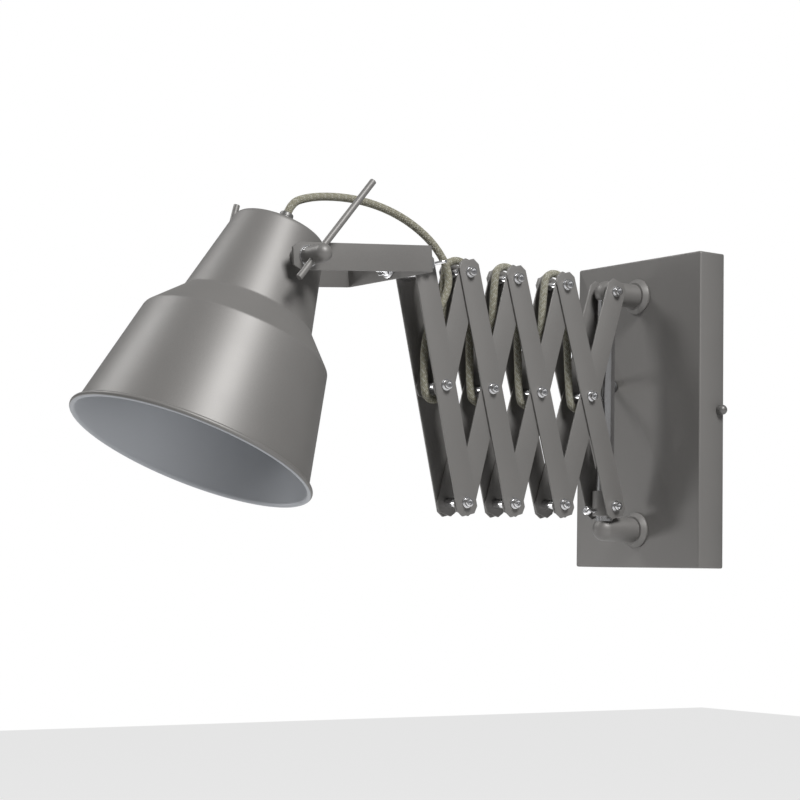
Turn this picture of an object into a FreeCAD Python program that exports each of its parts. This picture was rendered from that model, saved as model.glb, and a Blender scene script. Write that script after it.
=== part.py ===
import FreeCAD, Part
import math
import os
import Sketcher

"""An accordion wall lamp: a wall box, a four-cell scissor arm and a tilting spun shade.

Row frame, in millimetres: the origin is the middle of the box's back, on the wall.
X runs along the wall, Y into the wall and Z up, so the lamp stands out towards -Y.
The scissor is modelled closed up, with its slider at the foot of the slide tube.
"""

DRIVING_SIZES = {
    "box_width": 150, "box_height": 260, "box_depth": 27, "box_sheet": 1.5, "box_corner": 2,
    "bracket_height": 30, "bracket_sheet": 2, "bracket_ear": 12,
    "slot_width": 5, "slot_length": 12, "slot_spacing": 90,
    "side_screw_inset": 4.3, "side_screw_dome": 4.2, "side_screw_neck": 3,
    "terminal_width": 36, "terminal_height": 18, "terminal_depth": 14,
    "grommet_across": -30, "grommet_up": 24, "grommet_radius": 6,
    "post_radius": 10, "post_up": 99, "post_reach": 62.2,
    "flange_radius": 15, "flange_face": 12, "flange_thick": 5, "flange_edge": 1.5,
    "tube_radius": 7.5, "tube_wall": 1.5, "tube_seat": 4,
    "collar_height": 21, "collar_below_pivot": 8.3, "collar_boss": 4.5,
    "lock_below_pivot": 4, "lock_reach": 21.3,
    "strip_width": 20, "strip_thick": 1.5, "clip_along": 5, "clip_across": 4, "strip_end": 9.5,
    "pivot_length": 187.6, "wall_cell_angle": 17.3, "head_cell_angle": 13.8,
    "open_angle": 55, "inner_gap": 20.6, "layer_gap": 0.2, "foot_offset": 0.4,
    "spacer_radius": 4, "screw_radius": 1.95, "screw_head": 3.5, "screw_head_high": 3.8,
    "socket_across": 1.75, "socket_deep": 2, "washer_radius": 4.6, "washer_thick": 0.8,
    "screw_grip": 6, "pivot_play": 0.2, "foot_play": 0.7, "open_play": 0.9, "running_gap": 0.1,
    "barrel_radius": 10, "stem_radius": 7, "stud_radius": 2.95, "stud_half": 22,
    "wing_span": 14.5, "wing_hub": 5.5, "wing_hub_high": 6, "wing_lobe": 4.4, "wing_thick": 2.6,
    "wing_turn": 16,
    "head_droop": 5.2, "yoke_forward": 24.6, "yoke_width": 112, "yoke_reach": 125,
    "yoke_height": 20, "yoke_thick": 2, "yoke_pivot": 112.3, "yoke_clip_along": 5.7,
    "yoke_clip_across": 3.4, "yoke_bend": 2.4,
    "bolt_radius": 3.95, "bolt_end": 36.5, "big_washer": 8.6, "big_washer_thick": 1.2,
    "nut_across": 7.5, "nut_thick": 6,
    "shade_lean": -23, "shade_sheet": 1.2, "top_radius": 35.4, "top_up": 28.8, "top_round": 5,
    "neck_radius": 50.6, "neck_down": 41.3, "shoulder_radius": 71.9, "shoulder_down": 65.6,
    "shoulder_round": 5, "rim_radius": 89.5, "rim_down": 153.3, "bead_radius": 2.2,
    "bush_radius": 7, "clamp_washer_radius": 8, "clamp_washer_thick": 1, "hub_radius": 6.9,
    "hub_length": 17, "rod_radius": 2.5, "rod_length": 100, "rod_across": 67,
    "near_rod_turn": -39, "near_rod_offset": 26, "far_rod_turn": -14, "far_rod_offset": 7.5,
    "gland_radius": 6.5, "gland_height": 15, "gland_cap": 5.2, "nipple_radius": 5,
    "holder_radius": 20, "holder_length": 52, "holder_top": 22, "socket_radius": 13.6,
    "socket_depth": 34, "shell_wall": 0.6, "shell_length": 25,
    "cable_radius": 3.1,
}

doc = FreeCAD.newDocument("accordion_wall_lamp")
sheet = doc.addObject("Spreadsheet::Sheet", "Sizes")
for row, (alias, size) in enumerate(DRIVING_SIZES.items(), start=1):
    sheet.set(f"A{row}", alias)
    sheet.set(f"B{row}", str(size))
    sheet.setAlias(f"B{row}", alias)
doc.recompute()


class Size:
    """A length or angle that keeps its value and the sheet expression it came from."""

    def __init__(self, value, text):
        self.value = float(value)
        self.text = text

    def _join(self, other, sign, value):
        return Size(value, f"({self.text} {sign} {of(other).text})")

    def __add__(self, other):
        return self._join(other, "+", self.value + of(other).value)

    def __sub__(self, other):
        return self._join(other, "-", self.value - of(other).value)

    def __mul__(self, other):
        return self._join(other, "*", self.value * of(other).value)

    def __truediv__(self, other):
        return self._join(other, "/", self.value / of(other).value)

    def __neg__(self):
        return Size(-self.value, f"(0 - {self.text})")

    def __radd__(self, other):
        return of(other) + self

    def __rsub__(self, other):
        return of(other) - self

    def __rmul__(self, other):
        return of(other) * self

    def __float__(self):
        return self.value


def of(number):
    """Give a plain number the form of a Size."""
    if isinstance(number, Size):
        return number
    return Size(number, f"{float(number):.6f}")


class Sheet:
    """Reads the driving sizes out of the spreadsheet by alias."""

    def __getattr__(self, alias):
        return Size(getattr(sheet, alias), f"Sizes.{alias}")


S = Sheet()
NODES = []


def vec(x=0, y=0, z=0):
    return FreeCAD.Vector(float(x), float(y), float(z))


def turn_x(degrees):
    return FreeCAD.Rotation(vec(1, 0, 0), float(degrees))


def place(x=0, y=0, z=0, rotation=None):
    return FreeCAD.Placement(vec(x, y, z), rotation or FreeCAD.Rotation())


def bind(obj, **sizes):
    """Set each property of obj to a size, by its expression on the sheet."""
    for name, size in sizes.items():
        size = of(size)
        setattr(obj, name, size.value)
        if "Sizes." in size.text:
            obj.setExpression(name, size.text)
    return obj


def node(obj, label):
    """Name a finished sub-part: its label is its file's name."""
    obj.Label = label
    NODES.append(obj)
    return obj


# ---- Part primitives and booleans ----

TURNS = {
    "+X": FreeCAD.Rotation(vec(0, 1, 0), 90), "-X": FreeCAD.Rotation(vec(0, 1, 0), -90),
    "+Y": FreeCAD.Rotation(vec(1, 0, 0), -90), "-Y": FreeCAD.Rotation(vec(1, 0, 0), 90),
    "+Z": FreeCAD.Rotation(), "-Z": FreeCAD.Rotation(vec(1, 0, 0), 180),
}


def rod(radius, length, at=(0, 0, 0), axis="+Z"):
    """A round bar that starts at a point and runs along an axis."""
    obj = doc.addObject("Part::Cylinder", "rod")
    obj.Placement = place(*at, TURNS[axis])
    return bind(obj, Radius=radius, Height=length)


def cone(radius1, radius2, length, at=(0, 0, 0), axis="+Z"):
    obj = doc.addObject("Part::Cone", "cone")
    obj.Placement = place(*at, TURNS[axis])
    return bind(obj, Radius1=radius1, Radius2=radius2, Height=length)


def ball(radius, at=(0, 0, 0)):
    obj = doc.addObject("Part::Sphere", "ball")
    obj.Placement = place(*at)
    return bind(obj, Radius=radius)


def block(size, centre):
    """A box of three sizes about a centre."""
    obj = doc.addObject("Part::Box", "block")
    obj.Placement = place(*[float(c) - float(s) / 2 for c, s in zip(centre, size)])
    return bind(obj, Length=size[0], Width=size[1], Height=size[2])


def prism(circumradius, length, at=(0, 0, 0), axis="+Z"):
    """A six-sided bar, as a nut or a hexagon socket is."""
    obj = doc.addObject("Part::Prism", "prism")
    obj.Polygon = 6
    obj.Placement = place(*at, TURNS[axis])
    return bind(obj, Circumradius=circumradius, Height=length)


def fuse(*pieces):
    obj = doc.addObject("Part::MultiFuse", "fuse")
    obj.Shapes = list(pieces)
    return obj


def cut(base, *tools):
    """Take one tool, or several joined, out of a base."""
    obj = doc.addObject("Part::Cut", "cut")
    obj.Base = base
    obj.Tool = tools[0] if len(tools) == 1 else fuse(*tools)
    return obj


def group(*pieces):
    """Keep like pieces together as separate solids of one node."""
    obj = doc.addObject("Part::Compound", "group")
    obj.Links = list(pieces)
    return obj


# ---- PartDesign bodies ----

def new_body():
    return doc.addObject("PartDesign::Body", "body")


def sketch_on(body, role):
    """An empty sketch on one of the body's own origin planes."""
    plane = next(f for f in body.Origin.OriginFeatures if f.Role == role)
    sketch = body.newObject("Sketcher::SketchObject", "outline")
    sketch.AttachmentSupport = [(plane, "")]
    sketch.MapMode = "FlatFace"
    return sketch


def pin_point(sketch, geometry, point, along, size):
    """Fix one coordinate of a sketch point, measured from the sketch's origin."""
    size = of(size)
    if abs(size.value) < 1e-9:
        axis = -2 if along == "X" else -1
        sketch.addConstraint(Sketcher.Constraint("PointOnObject", geometry, point, axis))
        return
    ends = (-1, 1, geometry, point) if size.value > 0 else (geometry, point, -1, 1)
    wanted = size if size.value > 0 else -size
    index = sketch.addConstraint(Sketcher.Constraint("Distance" + along, *ends, wanted.value))
    if "Sizes." in wanted.text:
        sketch.setExpression(f"Constraints[{index}]", wanted.text)


def polygon(sketch, points):
    """A closed outline through points whose coordinates are sizes."""
    flat = [vec(x, y) for x, y in points]
    lines = []
    for start, end in zip(flat, flat[1:] + flat[:1]):
        lines.append(sketch.addGeometry(Part.LineSegment(start, end), False))
    for line, after in zip(lines, lines[1:] + lines[:1]):
        sketch.addConstraint(Sketcher.Constraint("Coincident", line, 2, after, 1))
    for line, (x, y) in zip(lines, points):
        pin_point(sketch, line, 1, "X", x)
        pin_point(sketch, line, 1, "Y", y)


def rectangle(sketch, width, height, x=0, y=0):
    left, right = of(x) - of(width) / 2, of(x) + of(width) / 2
    low, high = of(y) - of(height) / 2, of(y) + of(height) / 2
    polygon(sketch, [(left, low), (right, low), (right, high), (left, high)])


def circle(sketch, radius, x=0, y=0):
    index = sketch.addGeometry(Part.Circle(vec(x, y), vec(0, 0, 1), float(radius)), False)
    pin_point(sketch, index, 3, "X", x)
    pin_point(sketch, index, 3, "Y", y)
    limit = sketch.addConstraint(Sketcher.Constraint("Radius", index, float(radius)))
    if "Sizes." in of(radius).text:
        sketch.setExpression(f"Constraints[{limit}]", of(radius).text)


def pad(body, sketch, length, midplane=False):
    feature = body.newObject("PartDesign::Pad", "pad")
    feature.Profile = sketch
    feature.Midplane = midplane
    return bind(feature, Length=length)


def pocket(body, sketch, depth, reverse=False, midplane=False, through=False):
    """Cut a sketch out of the body, and see that it does cut something."""
    doc.recompute()
    before = body.Shape.Volume
    feature = body.newObject("PartDesign::Pocket", "pocket")
    feature.Profile = sketch
    feature.Reversed = reverse
    feature.Midplane = midplane
    if through:
        feature.Type = "ThroughAll"
    else:
        bind(feature, Length=depth)
    doc.recompute()
    if body.Shape.Volume >= before - 1e-6:
        raise RuntimeError("a pocket cut nothing")
    return feature


def revolve(body, sketch):
    """Turn a sketch on the XZ plane about the body's Z axis."""
    feature = body.newObject("PartDesign::Revolution", "revolution")
    feature.Profile = sketch
    feature.ReferenceAxis = (sketch, ["V_Axis"])
    feature.Angle = 360
    return feature


def edges_where(shape, wanted):
    return [f"Edge{i}" for i, edge in enumerate(shape.Edges, start=1) if wanted(edge)]


def chamfer(body, wanted, along, across, flip=False):
    """Clip corners to two different sizes."""
    doc.recompute()
    tip = body.Tip
    feature = body.newObject("PartDesign::Chamfer", "clip")
    feature.Base = (tip, edges_where(tip.Shape, wanted))
    feature.ChamferType = "Two distances"
    feature.FlipDirection = flip
    return bind(feature, Size=along, Size2=across)


def fillet(body, wanted, radius):
    doc.recompute()
    tip = body.Tip
    feature = body.newObject("PartDesign::Fillet", "round")
    feature.Base = (tip, edges_where(tip.Shape, wanted))
    return bind(feature, Radius=radius)


def runs_along(edge, axis):
    """Whether an edge is a straight one parallel to an axis."""
    if len(edge.Vertexes) < 2:
        return False
    step = edge.Vertexes[1].Point - edge.Vertexes[0].Point
    return step.Length > 1e-6 and abs(abs(step.normalize().dot(axis)) - 1) < 1e-6


def turned(profile, label=None):
    """A turned piece about local Z from (radius, height) points."""
    body = new_body()
    sketch = sketch_on(body, "XZ_Plane")
    polygon(sketch, profile)
    revolve(body, sketch)
    return node(body, label) if label else body


# ---- Where everything is ----

X_AXIS, Y_AXIS, Z_AXIS = vec(1, 0, 0), vec(0, 1, 0), vec(0, 0, 1)
CELLS = 4
HALF = float(S.pivot_length) / 2
INNER_FACE = S.inner_gap / 2
OUTER_FACE = INNER_FACE + S.strip_thick + S.layer_gap
STACK = OUTER_FACE + S.strip_thick
FRONT = -S.box_depth


def cell_angle(cell):
    """How far the bars of a cell lean from upright: cell 1 is at the head, 4 at the wall."""
    share = (cell - 1) / (CELLS - 1)
    return float(S.head_cell_angle) * (1 - share) + float(S.wall_cell_angle) * share


def arm(angle, length=HALF):
    return math.sin(math.radians(angle)) * length, math.cos(math.radians(angle)) * length


def pivots():
    """Top, middle and foot pivots as (y, z), by cell number; top 0 is the head's own."""
    top = {CELLS: (-float(S.post_reach), float(S.post_up))}
    middle, foot = {}, {CELLS: None}
    for cell in range(CELLS, 0, -1):
        out, down = arm(cell_angle(cell))
        y, z = top[cell]
        middle[cell] = (y - out, z - down)
        top[cell - 1] = (y - 2 * out, z)
        foot[cell] = (y, z - 2 * down)
    return top, middle, foot


TOP, MIDDLE, FOOT = pivots()
COLLAR_BASE = FOOT[CELLS][1] - float(S.collar_below_pivot)
LOCK_UP = FOOT[CELLS][1] - float(S.lock_below_pivot)
HEAD = TOP[0]
HEAD_TURN = turn_x(S.head_droop)
SHADE_TURN = turn_x(S.shade_lean)


def in_head(x, y, z):
    """A point of the head's own frame, which droops about the head pivot, in the row frame."""
    return HEAD_TURN.multVec(vec(x, y, z)) + vec(0, *HEAD)


SHADE_PIVOT = in_head(0, -float(S.yoke_forward) - float(S.yoke_pivot), 0)


def head_place(x=0, y=0, z=0, extra=None):
    return FreeCAD.Placement(in_head(x, y, z), HEAD_TURN.multiply(extra or FreeCAD.Rotation()))


def shade_place(x=0, y=0, z=0, extra=None):
    spot = SHADE_TURN.multVec(vec(x, y, z)) + SHADE_PIVOT
    return FreeCAD.Placement(spot, SHADE_TURN.multiply(extra or FreeCAD.Rotation()))


def moved(obj, placement):
    """Carry a piece, built in its own frame, to its place on the lamp."""
    obj.Placement = placement.multiply(obj.Placement)
    return obj


# ---- Fasteners ----

def cap_screw(face, reach, y, z, side):
    """A socket cap screw along X with its washer, seated on a face at x = face."""
    axis = "+X" if side > 0 else "-X"
    seat = side * (float(face) + float(S.running_gap))
    under = seat + side * float(S.washer_thick)
    shank = rod(S.screw_radius, of(float(face)) + S.running_gap + S.washer_thick - reach,
                (side * float(reach), y, z), axis)
    head = rod(S.screw_head, S.screw_head_high, (under, y, z), axis)
    top = under + side * float(S.screw_head_high - S.socket_deep)
    socket = prism(S.socket_across, S.socket_deep + 1, (top, y, z), axis)
    washer = cut(rod(S.washer_radius, S.washer_thick, (seat, y, z), axis),
                 rod(S.screw_radius + 0.1, S.washer_thick + 2, (seat - side, y, z), axis))
    return [cut(fuse(head, shank), socket), washer]


def screw_pair(face, reach, y, z):
    return [piece for side in (1, -1) for piece in cap_screw(face, reach, y, z, side)]


def spacer(y, z):
    """The tube that holds the near and far bars apart at a pivot."""
    length = S.inner_gap - S.running_gap * 2
    start = -float(length) / 2
    return cut(rod(S.spacer_radius, length, (start, y, z), "+X"),
               rod(S.screw_radius + 0.05, length + 2, (start - 1, y, z), "+X"))


# ---- Wall box ----

def build_wall_box():
    """The formed cover: a shallow box, open at the wall."""
    body = new_body()
    face = sketch_on(body, "XZ_Plane")
    rectangle(face, S.box_width, S.box_height)
    pad(body, face, S.box_depth)
    fillet(body, lambda e: runs_along(e, Y_AXIS), S.box_corner)
    front = float(FRONT)
    fillet(body, lambda e: all(abs(v.Y - front) < 1e-6 for v in e.Vertexes), S.box_corner / 2)
    inside = sketch_on(body, "XZ_Plane")
    rectangle(inside, S.box_width - S.box_sheet * 2, S.box_height - S.box_sheet * 2)
    pocket(body, inside, S.box_depth - S.box_sheet, reverse=True)
    holes = sketch_on(body, "XZ_Plane")
    circle(holes, 3.2, 0, S.post_up)
    circle(holes, 3.2, 0, -S.post_up)
    circle(holes, S.grommet_radius - 1.5, S.grommet_across, S.grommet_up)
    pocket(body, holes, S.box_depth * 2, reverse=True)
    side = sketch_on(body, "YZ_Plane")
    circle(side, 2.2, -S.side_screw_inset, 0)
    pocket(body, side, S.box_width * 2, midplane=True)
    return node(body, "wall_box")


def build_wall_bracket():
    """The strip that is screwed to the wall, with an ear each end for the cover's screws."""
    reach = S.box_width - S.box_sheet * 2 - 0.6
    body = new_body()
    plan = sketch_on(body, "XY_Plane")
    half, sheet_thick, ear = reach / 2, S.bracket_sheet, S.bracket_ear
    polygon(plan, [(-half, of(0)), (half, of(0)), (half, -ear), (half - sheet_thick, -ear),
                   (half - sheet_thick, -sheet_thick), (sheet_thick - half, -sheet_thick),
                   (sheet_thick - half, -ear), (-half, -ear)])
    pad(body, plan, S.bracket_height, midplane=True)
    slots = sketch_on(body, "XZ_Plane")
    for side in (-1, 1):
        middle = S.slot_spacing / 2 * side
        rectangle(slots, S.slot_length - S.slot_width, S.slot_width, middle)
    pocket(body, slots, S.bracket_sheet * 3, midplane=True)
    for side in (-1, 1):
        for end in (-1, 1):
            ends = sketch_on(body, "XZ_Plane")
            centre = S.slot_spacing / 2 * side + (S.slot_length - S.slot_width) / 2 * end
            circle(ends, S.slot_width / 2, centre)
            pocket(body, ends, S.bracket_sheet * 3, midplane=True)
    threads = sketch_on(body, "YZ_Plane")
    circle(threads, 2, -S.side_screw_inset, 0)
    pocket(body, threads, S.box_width * 2, midplane=True)
    return node(body, "wall_bracket")


def build_side_screws():
    """The two dome-headed screws that hold the cover to the bracket's ears."""
    screws = []
    edge = float(S.box_width) / 2 + 0.1
    inset = -float(S.side_screw_inset)
    for side, axis in ((1, "+X"), (-1, "-X")):
        neck = rod(S.side_screw_dome, S.side_screw_neck, (side * edge, inset, 0), axis)
        cap_at = side * (edge + float(S.side_screw_neck))
        dome = doc.addObject("Part::Common", "dome")
        dome.Base = ball(S.side_screw_dome, (cap_at, inset, 0))
        dome.Tool = rod(S.side_screw_dome, S.side_screw_dome, (cap_at, inset, 0), axis)
        shank = rod(1.95, 6, (side * (edge - 6), inset, 0), axis)
        screws.append(fuse(neck, dome, shank))
    return node(group(*screws), "side_screws")


def build_terminal_block():
    """A three-way connector on the bracket, with its wire ways and screw wells."""
    depth = S.terminal_depth
    middle_y = -float(S.bracket_sheet) - 0.1 - float(depth) / 2
    base = block((S.terminal_width, depth, S.terminal_height), (0, middle_y, 0))
    pitch = float(S.terminal_width) / 3
    ways = []
    for way in (-1, 0, 1):
        low = -float(S.terminal_height) / 2 - 1
        ways.append(rod(2, S.terminal_height + 2, (way * pitch, middle_y, low)))
        for up in (-4, 4):
            ways.append(rod(1.8, depth, (way * pitch, middle_y, up), "-Y"))
    return node(cut(base, *ways), "terminal_block")


def build_grommet():
    """The rubber bush that lines the cable's hole in the cover."""
    radius, sheet_thick = S.grommet_radius, S.box_sheet
    bore, groove = S.cable_radius + 0.15, S.grommet_radius - 1.6
    bush = turned([(bore, -2), (radius, -2), (radius, -0.1), (groove, -0.1),
                   (groove, sheet_thick + 0.1), (radius, sheet_thick + 0.1),
                   (radius - 1, sheet_thick + 2.4), (bore, sheet_thick + 2.4)], "cable_grommet")
    at = (float(S.grommet_across), float(FRONT) + float(sheet_thick), float(S.grommet_up))
    bush.Placement = place(*at, TURNS["-Y"])
    return bush


def build_post(label, up, tube_side):
    """A round stub that stands on the cover, with a ball end and a seat for the tube."""
    reach = S.post_reach - S.box_depth - 0.1
    start = (0, float(FRONT) - 0.1, float(up))
    axis = vec(0, -float(S.post_reach), float(up))
    stub = fuse(rod(S.post_radius, reach, start, "-Y"), ball(S.post_radius, tuple(axis)))
    seat_at = float(up) + tube_side * float(S.tube_seat)
    seat = rod(S.tube_radius + 0.05, S.post_radius, (0, axis.y, seat_at),
               "+Z" if tube_side > 0 else "-Z")
    thread = rod(3.05, 12, (0, float(FRONT) + 1, float(up)), "-Y")
    tools = [seat, thread]
    if tube_side < 0:
        tools.append(rod(S.screw_radius + 0.05, S.post_radius * 3,
                         (-float(S.post_radius) * 1.5, axis.y, axis.z), "+X"))
    return node(cut(stub, *tools), label)


def build_flanges():
    """The coned rings where the posts meet the cover."""
    rings = []
    for up in (float(S.post_up), -float(S.post_up)):
        base = (0, float(FRONT) - 0.05, up)
        edge = (0, float(FRONT) - 0.05 - float(S.flange_edge), up)
        ring = fuse(rod(S.flange_radius, S.flange_edge, base, "-Y"),
                    cone(S.flange_radius, S.flange_face, S.flange_thick - S.flange_edge, edge, "-Y"))
        bore = rod(S.post_radius + 0.05, S.flange_thick * 2, (0, float(FRONT) + 2, up), "-Y")
        rings.append(cut(ring, bore))
    return node(group(*rings), "post_flanges")


def build_post_bolts():
    """The hexagon bolts that hold the posts from inside the cover."""
    bolts = []
    inside = float(FRONT) + float(S.box_sheet) + 0.1
    for up in (float(S.post_up), -float(S.post_up)):
        washer = rod(6, 1.2, (0, inside, up), "+Y")
        head = prism(5.8, 4, (0, inside + 1.2, up), "+Y")
        shank = rod(2.95, 12, (0, inside, up), "-Y")
        bolts.append(fuse(washer, head, shank))
    return node(group(*bolts), "post_bolts")


def build_slide_tube():
    """The chrome tube between the posts, on which the slider runs."""
    length = (S.post_up - S.tube_seat) * 2 - 0.2
    start = (0, -float(S.post_reach), -float(length) / 2)
    wall = cut(rod(S.tube_radius, length, start),
               rod(S.tube_radius - S.tube_wall, length + 2, (0, start[1], start[2] - 1)))
    return node(wall, "slide_tube")


# ---- Slider ----

def build_collar():
    """The slider: a sleeve with a boss each side for the foot of the wall bars."""
    y, up = -float(S.post_reach), FOOT[CELLS][1]
    sleeve = new_body()
    ring = sketch_on(sleeve, "XY_Plane")
    circle(ring, S.post_radius)
    pad(sleeve, ring, S.collar_height)
    fillet(sleeve, lambda e: len(e.Vertexes) == 1, 0.8)
    sleeve.Placement = place(0, y, COLLAR_BASE)
    across = (OUTER_FACE - S.running_gap) * 2
    boss = rod(S.collar_boss, across, (-float(across) / 2, y, up), "+X")
    bore = rod(S.tube_radius + 0.08, S.collar_height + 4, (0, y, COLLAR_BASE - 2))
    pins = rod(S.screw_radius + 0.05, across + 2, (-float(across) / 2 - 1, y, up), "+X")
    lock = rod(S.screw_radius + 0.05, S.post_radius * 2, (0, y, LOCK_UP), "-Y")
    return node(cut(fuse(sleeve, boss), bore, pins, lock), "slider_collar")


def build_lock_screw():
    """The cap screw that nips the slider to the tube."""
    tip = -float(S.post_reach) - float(S.tube_radius) - 0.15
    end = -float(S.post_reach) - float(S.lock_reach)
    under = end + float(S.screw_head_high)
    shank = rod(S.screw_radius, tip - under, (0, tip, LOCK_UP), "-Y")
    head = rod(S.screw_head, S.screw_head_high, (0, under, LOCK_UP), "-Y")
    well = prism(S.socket_across, S.socket_deep + 1, (0, end + float(S.socket_deep), LOCK_UP), "-Y")
    return node(cut(fuse(shank, head), well), "lock_screw")


# ---- Scissor bars ----

def build_bar(label, face, side, centre, lean, holes, low, high):
    """A flat bar with clipped ends. Holes are (distance up the bar, radius)."""
    body = new_body()
    outline = sketch_on(body, "YZ_Plane")
    bottom, top = -(of(low) + S.strip_end), of(high) + S.strip_end
    half = S.strip_width / 2
    polygon(outline, [(-half, bottom), (half, bottom), (half, top), (-half, top)])
    pad(body, outline, S.strip_thick)
    along_x = lambda e: runs_along(e, X_AXIS)
    chamfer(body, along_x, S.clip_along, S.clip_across)
    for height, radius in holes:
        ring = sketch_on(body, "YZ_Plane")
        circle(ring, radius, 0, height)
        pocket(body, ring, S.strip_thick * 4, midplane=True)
    start = float(face) if side > 0 else -float(face) - float(S.strip_thick)
    body.Placement = place(start, centre[0], centre[1], turn_x(lean))
    return node(body, label)


def build_bars():
    """Outer bars lean out at the top, inner bars lean in; the inner bar at the head is half."""
    half = S.pivot_length / 2
    snug = S.screw_radius + S.pivot_play
    for cell in range(1, CELLS + 1):
        lean = cell_angle(cell)
        for side, name in ((1, "near"), (-1, "far")):
            loose = S.screw_radius + (S.open_play if cell % 2 == 0 else S.foot_play)
            top_hole = loose if cell % 2 == 0 else snug
            if cell == 1:
                top_hole = S.stud_radius + S.pivot_play
            foot_hole = snug if cell == CELLS else loose
            outer_foot = half if cell == CELLS else half - S.foot_offset
            build_bar(f"outer_bar_{cell}_{name}", OUTER_FACE, side, MIDDLE[cell], lean,
                      [(half, top_hole), (of(0), snug), (-outer_foot, foot_hole)], half, half)
            foot = half + S.foot_offset
            holes = [(half, snug), (of(0), snug)]
            if cell > 1:
                holes.append((-foot, snug))
            build_bar(f"inner_bar_{cell}_{name}", INNER_FACE, side, MIDDLE[cell], -lean,
                      holes, foot if cell > 1 else of(0), half)


def inner_foot(cell):
    """The foot pivot as the inner bar carries it."""
    out, down = arm(cell_angle(cell), HALF + float(S.foot_offset))
    return MIDDLE[cell][0] - out, MIDDLE[cell][1] - down


def build_pivots():
    """Each inner pair of bars carries the spacers and screws of its own pivots."""
    grip = INNER_FACE - S.running_gap - S.screw_grip
    for cell in range(1, CELLS + 1):
        spots = [MIDDLE[cell]]
        if cell < CELLS:
            spots.append(TOP[cell])
        if cell > 1:
            spots.append(inner_foot(cell))
        screws = [piece for y, z in spots for piece in screw_pair(STACK, grip, y, z)]
        node(group(*[spacer(y, z) for y, z in spots]), f"pivot_spacers_{cell}")
        node(group(*screws), f"pivot_screws_{cell}")
    y, z = TOP[CELLS]
    node(group(*screw_pair(INNER_FACE + S.strip_thick, of(4), y, z)), "post_pivot_screws")
    y, z = FOOT[CELLS]
    node(group(*screw_pair(STACK, S.tube_radius + 0.4, y, z)), "collar_pivot_screws")


# ---- Head joint ----

def build_head_block():
    """The barrel between the last bars, with a stem that the yoke is bolted to."""
    length = (OUTER_FACE - 0.3) * 2
    barrel = rod(S.barrel_radius, length, (-float(length) / 2, 0, 0), "+X")
    stem_end = S.yoke_forward - S.yoke_thick / 2 - S.big_washer_thick - 0.2
    stem = rod(S.stem_radius, stem_end, (0, 0, 0), "-Y")
    bore = rod(S.stud_radius + 0.05, length + 2, (-float(length) / 2 - 1, 0, 0), "+X")
    thread = rod(S.bolt_radius + 0.05, S.yoke_forward, (0, -11, 0), "-Y")
    return node(moved(cut(fuse(barrel, stem), bore, thread), head_place()), "head_block")


def build_pivot_stud():
    stud = rod(S.stud_radius, S.stud_half * 2, (-float(S.stud_half), 0, 0), "+X")
    return node(moved(stud, head_place()), "pivot_stud")


def build_head_washers():
    """Washers under the wing nuts, and both sides of the yoke's cross-piece."""
    washers = []
    for side, axis in ((1, "+X"), (-1, "-X")):
        seat = side * (float(STACK) + float(S.running_gap))
        disc = rod(6.2, S.washer_thick, (seat, 0, 0), axis)
        hole = rod(S.stud_radius + 0.1, 4, (seat - 2 * side, 0, 0), axis)
        washers.append(moved(cut(disc, hole), head_place()))
    back = float(S.yoke_forward - S.yoke_thick / 2 - S.big_washer_thick) - 0.1
    front = float(S.yoke_forward + S.yoke_thick / 2) + 0.1
    for start in (back, front):
        disc = rod(S.big_washer, S.big_washer_thick, (0, -start, 0), "-Y")
        hole = rod(S.bolt_radius + 0.1, 4, (0, 1.5 - start, 0), "-Y")
        washers.append(moved(cut(disc, hole), head_place()))
    return node(group(*washers), "head_washers")


def build_wing_nut(label, side):
    """A wing nut on the head's cross stud: a coned hub with two rounded ears."""
    seat = float(STACK) + float(S.running_gap) + float(S.washer_thick) + 0.05
    hub = cone(S.wing_hub, S.wing_hub - 1, S.wing_hub_high)
    ears = []
    for way in (-1, 1):
        centre = way * float(S.wing_span - S.wing_lobe)
        high = float(S.wing_hub_high) + 1.2
        ears.append(rod(S.wing_lobe, S.wing_thick, (-float(S.wing_thick) / 2, centre, high), "+X"))
        web = block((S.wing_thick, S.wing_span - S.wing_lobe, S.wing_lobe * 1.4),
                    (0, centre / 2, float(S.wing_lobe) * 0.85))
        ears.append(web)
    nut = cut(fuse(hub, *ears), rod(S.stud_radius + 0.05, 20, (0, 0, -2)))
    nut.Placement = place(side * seat, *HEAD, turn_x(S.wing_turn).multiply(
        TURNS["+X" if side > 0 else "-X"]))
    return node(nut, label)


def build_yoke_bolt():
    stud = rod(S.bolt_radius, S.bolt_end - 11.2, (0, -11.2, 0), "-Y")
    return node(moved(stud, head_place()), "yoke_bolt")


def build_yoke_nut():
    start = float(S.yoke_forward + S.yoke_thick / 2 + S.big_washer_thick) + 0.2
    nut = cut(prism(S.nut_across, S.nut_thick, (0, -start, 0), "-Y"),
              rod(S.bolt_radius + 0.05, S.nut_thick + 2, (0, 1 - start, 0), "-Y"))
    return node(moved(nut, head_place()), "yoke_nut")


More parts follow.
